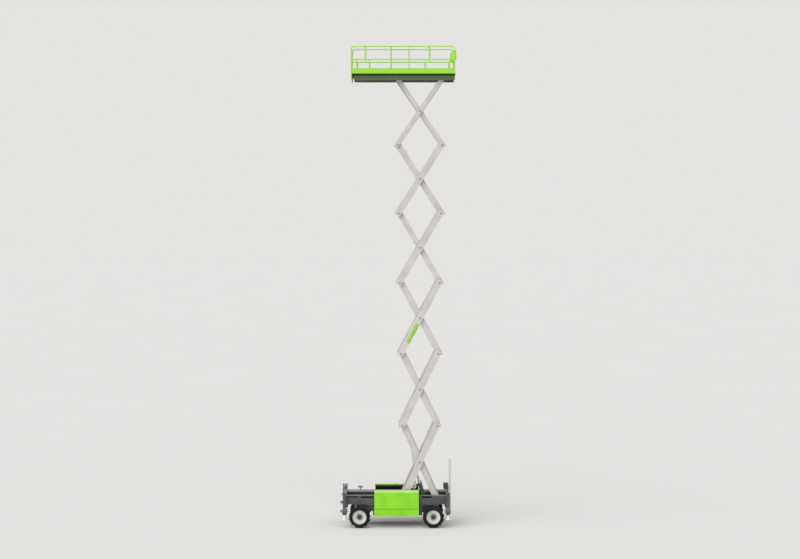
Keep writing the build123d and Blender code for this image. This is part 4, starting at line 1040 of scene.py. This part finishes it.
chassis_heads, corner_heads = [], []
for side in (-1.0, 1.0):
    chassis_heads += bolt_heads(HANGER_X, HANGER_Z, RAIL_Y, side)
    chassis_heads += bolt_heads(BEAM_X, BEAM_Z, RAIL_Y, side)
    chassis_heads += bolt_heads(HOUSING_X, HOUSING_Z, HOUSING_Y, side)
    corner_heads += bolt_heads(CORNER_X, CORNER_Z, CORNER_PLATE_Y, side)
piece("chassis_bolts", chassis_heads, "chassis", "pin_oxide")
piece("corner_plate_bolts", corner_heads, "platform", "lime_paint")
print("bolt heads", len(chassis_heads) + len(corner_heads))

# %% [markdown]
# ## Floor
#
# The floor is a wide pale disc of matt paint. A plane with a curved backdrop is the usual studio set, but
# the machine is 18 m tall and seen from all sides, so the disc simply reaches the horizon.

# %% Floor disc
FLOOR_R, FLOOR_MIDDLE_R, FLOOR_STEPS, CLOUD_MM = 400.0, 20.0, 96, 5000.0
rim_turn = np.linspace(0, 2 * np.pi, FLOOR_STEPS + 1)
floor_rings = np.array((0.0, FLOOR_MIDDLE_R, FLOOR_R))[:, None]
ground = np.stack(
    (floor_rings * np.cos(rim_turn), floor_rings * np.sin(rim_turn), 0 * floor_rings * rim_turn),
    axis=-1,
)
floor_mesh = bpy.data.meshes.new("studio_floor")
floor_mesh.from_pydata(ground.reshape(-1, 3), [], grid_quads(*ground.shape[:2], 0).tolist())
# Matt paper-grey floor: no gloss, so only the shadow grounds the machine
floor_paint, floor_tree, floor_shader = start_finish("matt_floor_paint", roughness=0.9)
floor_coords = node(floor_tree, "ShaderNodeTexCoord").outputs["Object"]
cloud = node(floor_tree, "ShaderNodeTexNoise", {"Vector": floor_coords, "Scale": 1 / (CLOUD_MM * MM)})
floor_tone = node(
    floor_tree,
    "ShaderNodeMix",
    {0: cloud.outputs["Fac"], 6: linear("#EDECEA"), 7: linear("#E9E8E6")},
    data_type="RGBA",
)
floor_tree.links.new(floor_tone.outputs[2], floor_shader.inputs["Base Color"])
floor_mesh.materials.append(floor_paint)
floor = bpy.data.objects.new("studio_floor", floor_mesh)
bpy.context.scene.collection.objects.link(floor)
print("floor radius", FLOOR_R)

# %% [markdown]
# ## Light
#
# A very wide sun from the upper left gives form with soft shadows, and an even sky fills the shade. The
# sky that is seen, also in gloss, has the floor's tone, so the machine stands alone. Lamps close by
# could light it too, but over 18 m they would fade from one end of the machine to the other.

# %% Sky and sun
HORIZON, SKY_FILL = "#E4E3E1", 0.47
SUN_POWER, SUN_SPREAD, SUN_TURN = 2.1, 80.0, (48.0, 0.0, -28.0)
world = bpy.data.worlds.new("studio_sky")
bpy.context.scene.world = world
world.use_nodes = True
sky = world.node_tree
sky.nodes.clear()
ray = node(sky, "ShaderNodeLightPath")
fill = node(sky, "ShaderNodeBackground", {"Color": (1.0, 1.0, 1.0, 1.0), "Strength": SKY_FILL})
seen = node(sky, "ShaderNodeBackground", {"Color": linear(HORIZON), "Strength": 1.0})
mirrored = node(
    sky,
    "ShaderNodeMath",
    {0: ray.outputs["Is Glossy Ray"], 1: ray.outputs["Is Transmission Ray"]},
    operation="MAXIMUM",
)
looked_at = node(
    sky,
    "ShaderNodeMath",
    {0: ray.outputs["Is Camera Ray"], 1: mirrored.outputs["Value"]},
    operation="MAXIMUM",
)
shown = node(
    sky,
    "ShaderNodeMixShader",
    {0: looked_at.outputs["Value"], 1: fill.outputs["Background"], 2: seen.outputs["Background"]},
)
node(sky, "ShaderNodeOutputWorld", {"Surface": shown.outputs["Shader"]})
sun_lamp = bpy.data.lights.new("soft_sun", "SUN")
sun_lamp.energy = SUN_POWER
sun_lamp.angle = np.radians(SUN_SPREAD)
sun = bpy.data.objects.new("soft_sun", sun_lamp)
sun.rotation_euler = np.radians(SUN_TURN)
bpy.context.scene.collection.objects.link(sun)
print("sun", SUN_POWER, "sky", SKY_FILL)

# %% [markdown]
# ## Camera
#
# The camera stands far off and a little above the machine's middle, tilted down by about two degrees:
# the far rail shows over the near one, and the far guard rail under the near one. A near camera with a
# short lens would frame the same height, but would spread the far side away from the near side.

# %% Camera
CAMERA_AT, LENS_MM, SENSOR_MM, TILT = (0.077, -79.586, 12.715), 92.42, 36.0, 2.297
eye = bpy.data.cameras.new("far_camera")
eye.lens = LENS_MM
eye.sensor_width = SENSOR_MM
eye.clip_end = 2 * FLOOR_R
camera = bpy.data.objects.new("far_camera", eye)
camera.location = CAMERA_AT
camera.rotation_euler = np.radians((90.0 - TILT, 0.0, 0.0))
bpy.context.scene.collection.objects.link(camera)
bpy.context.scene.camera = camera
bpy.context.scene.view_settings.view_transform = "Standard"
print("camera", CAMERA_AT, LENS_MM)
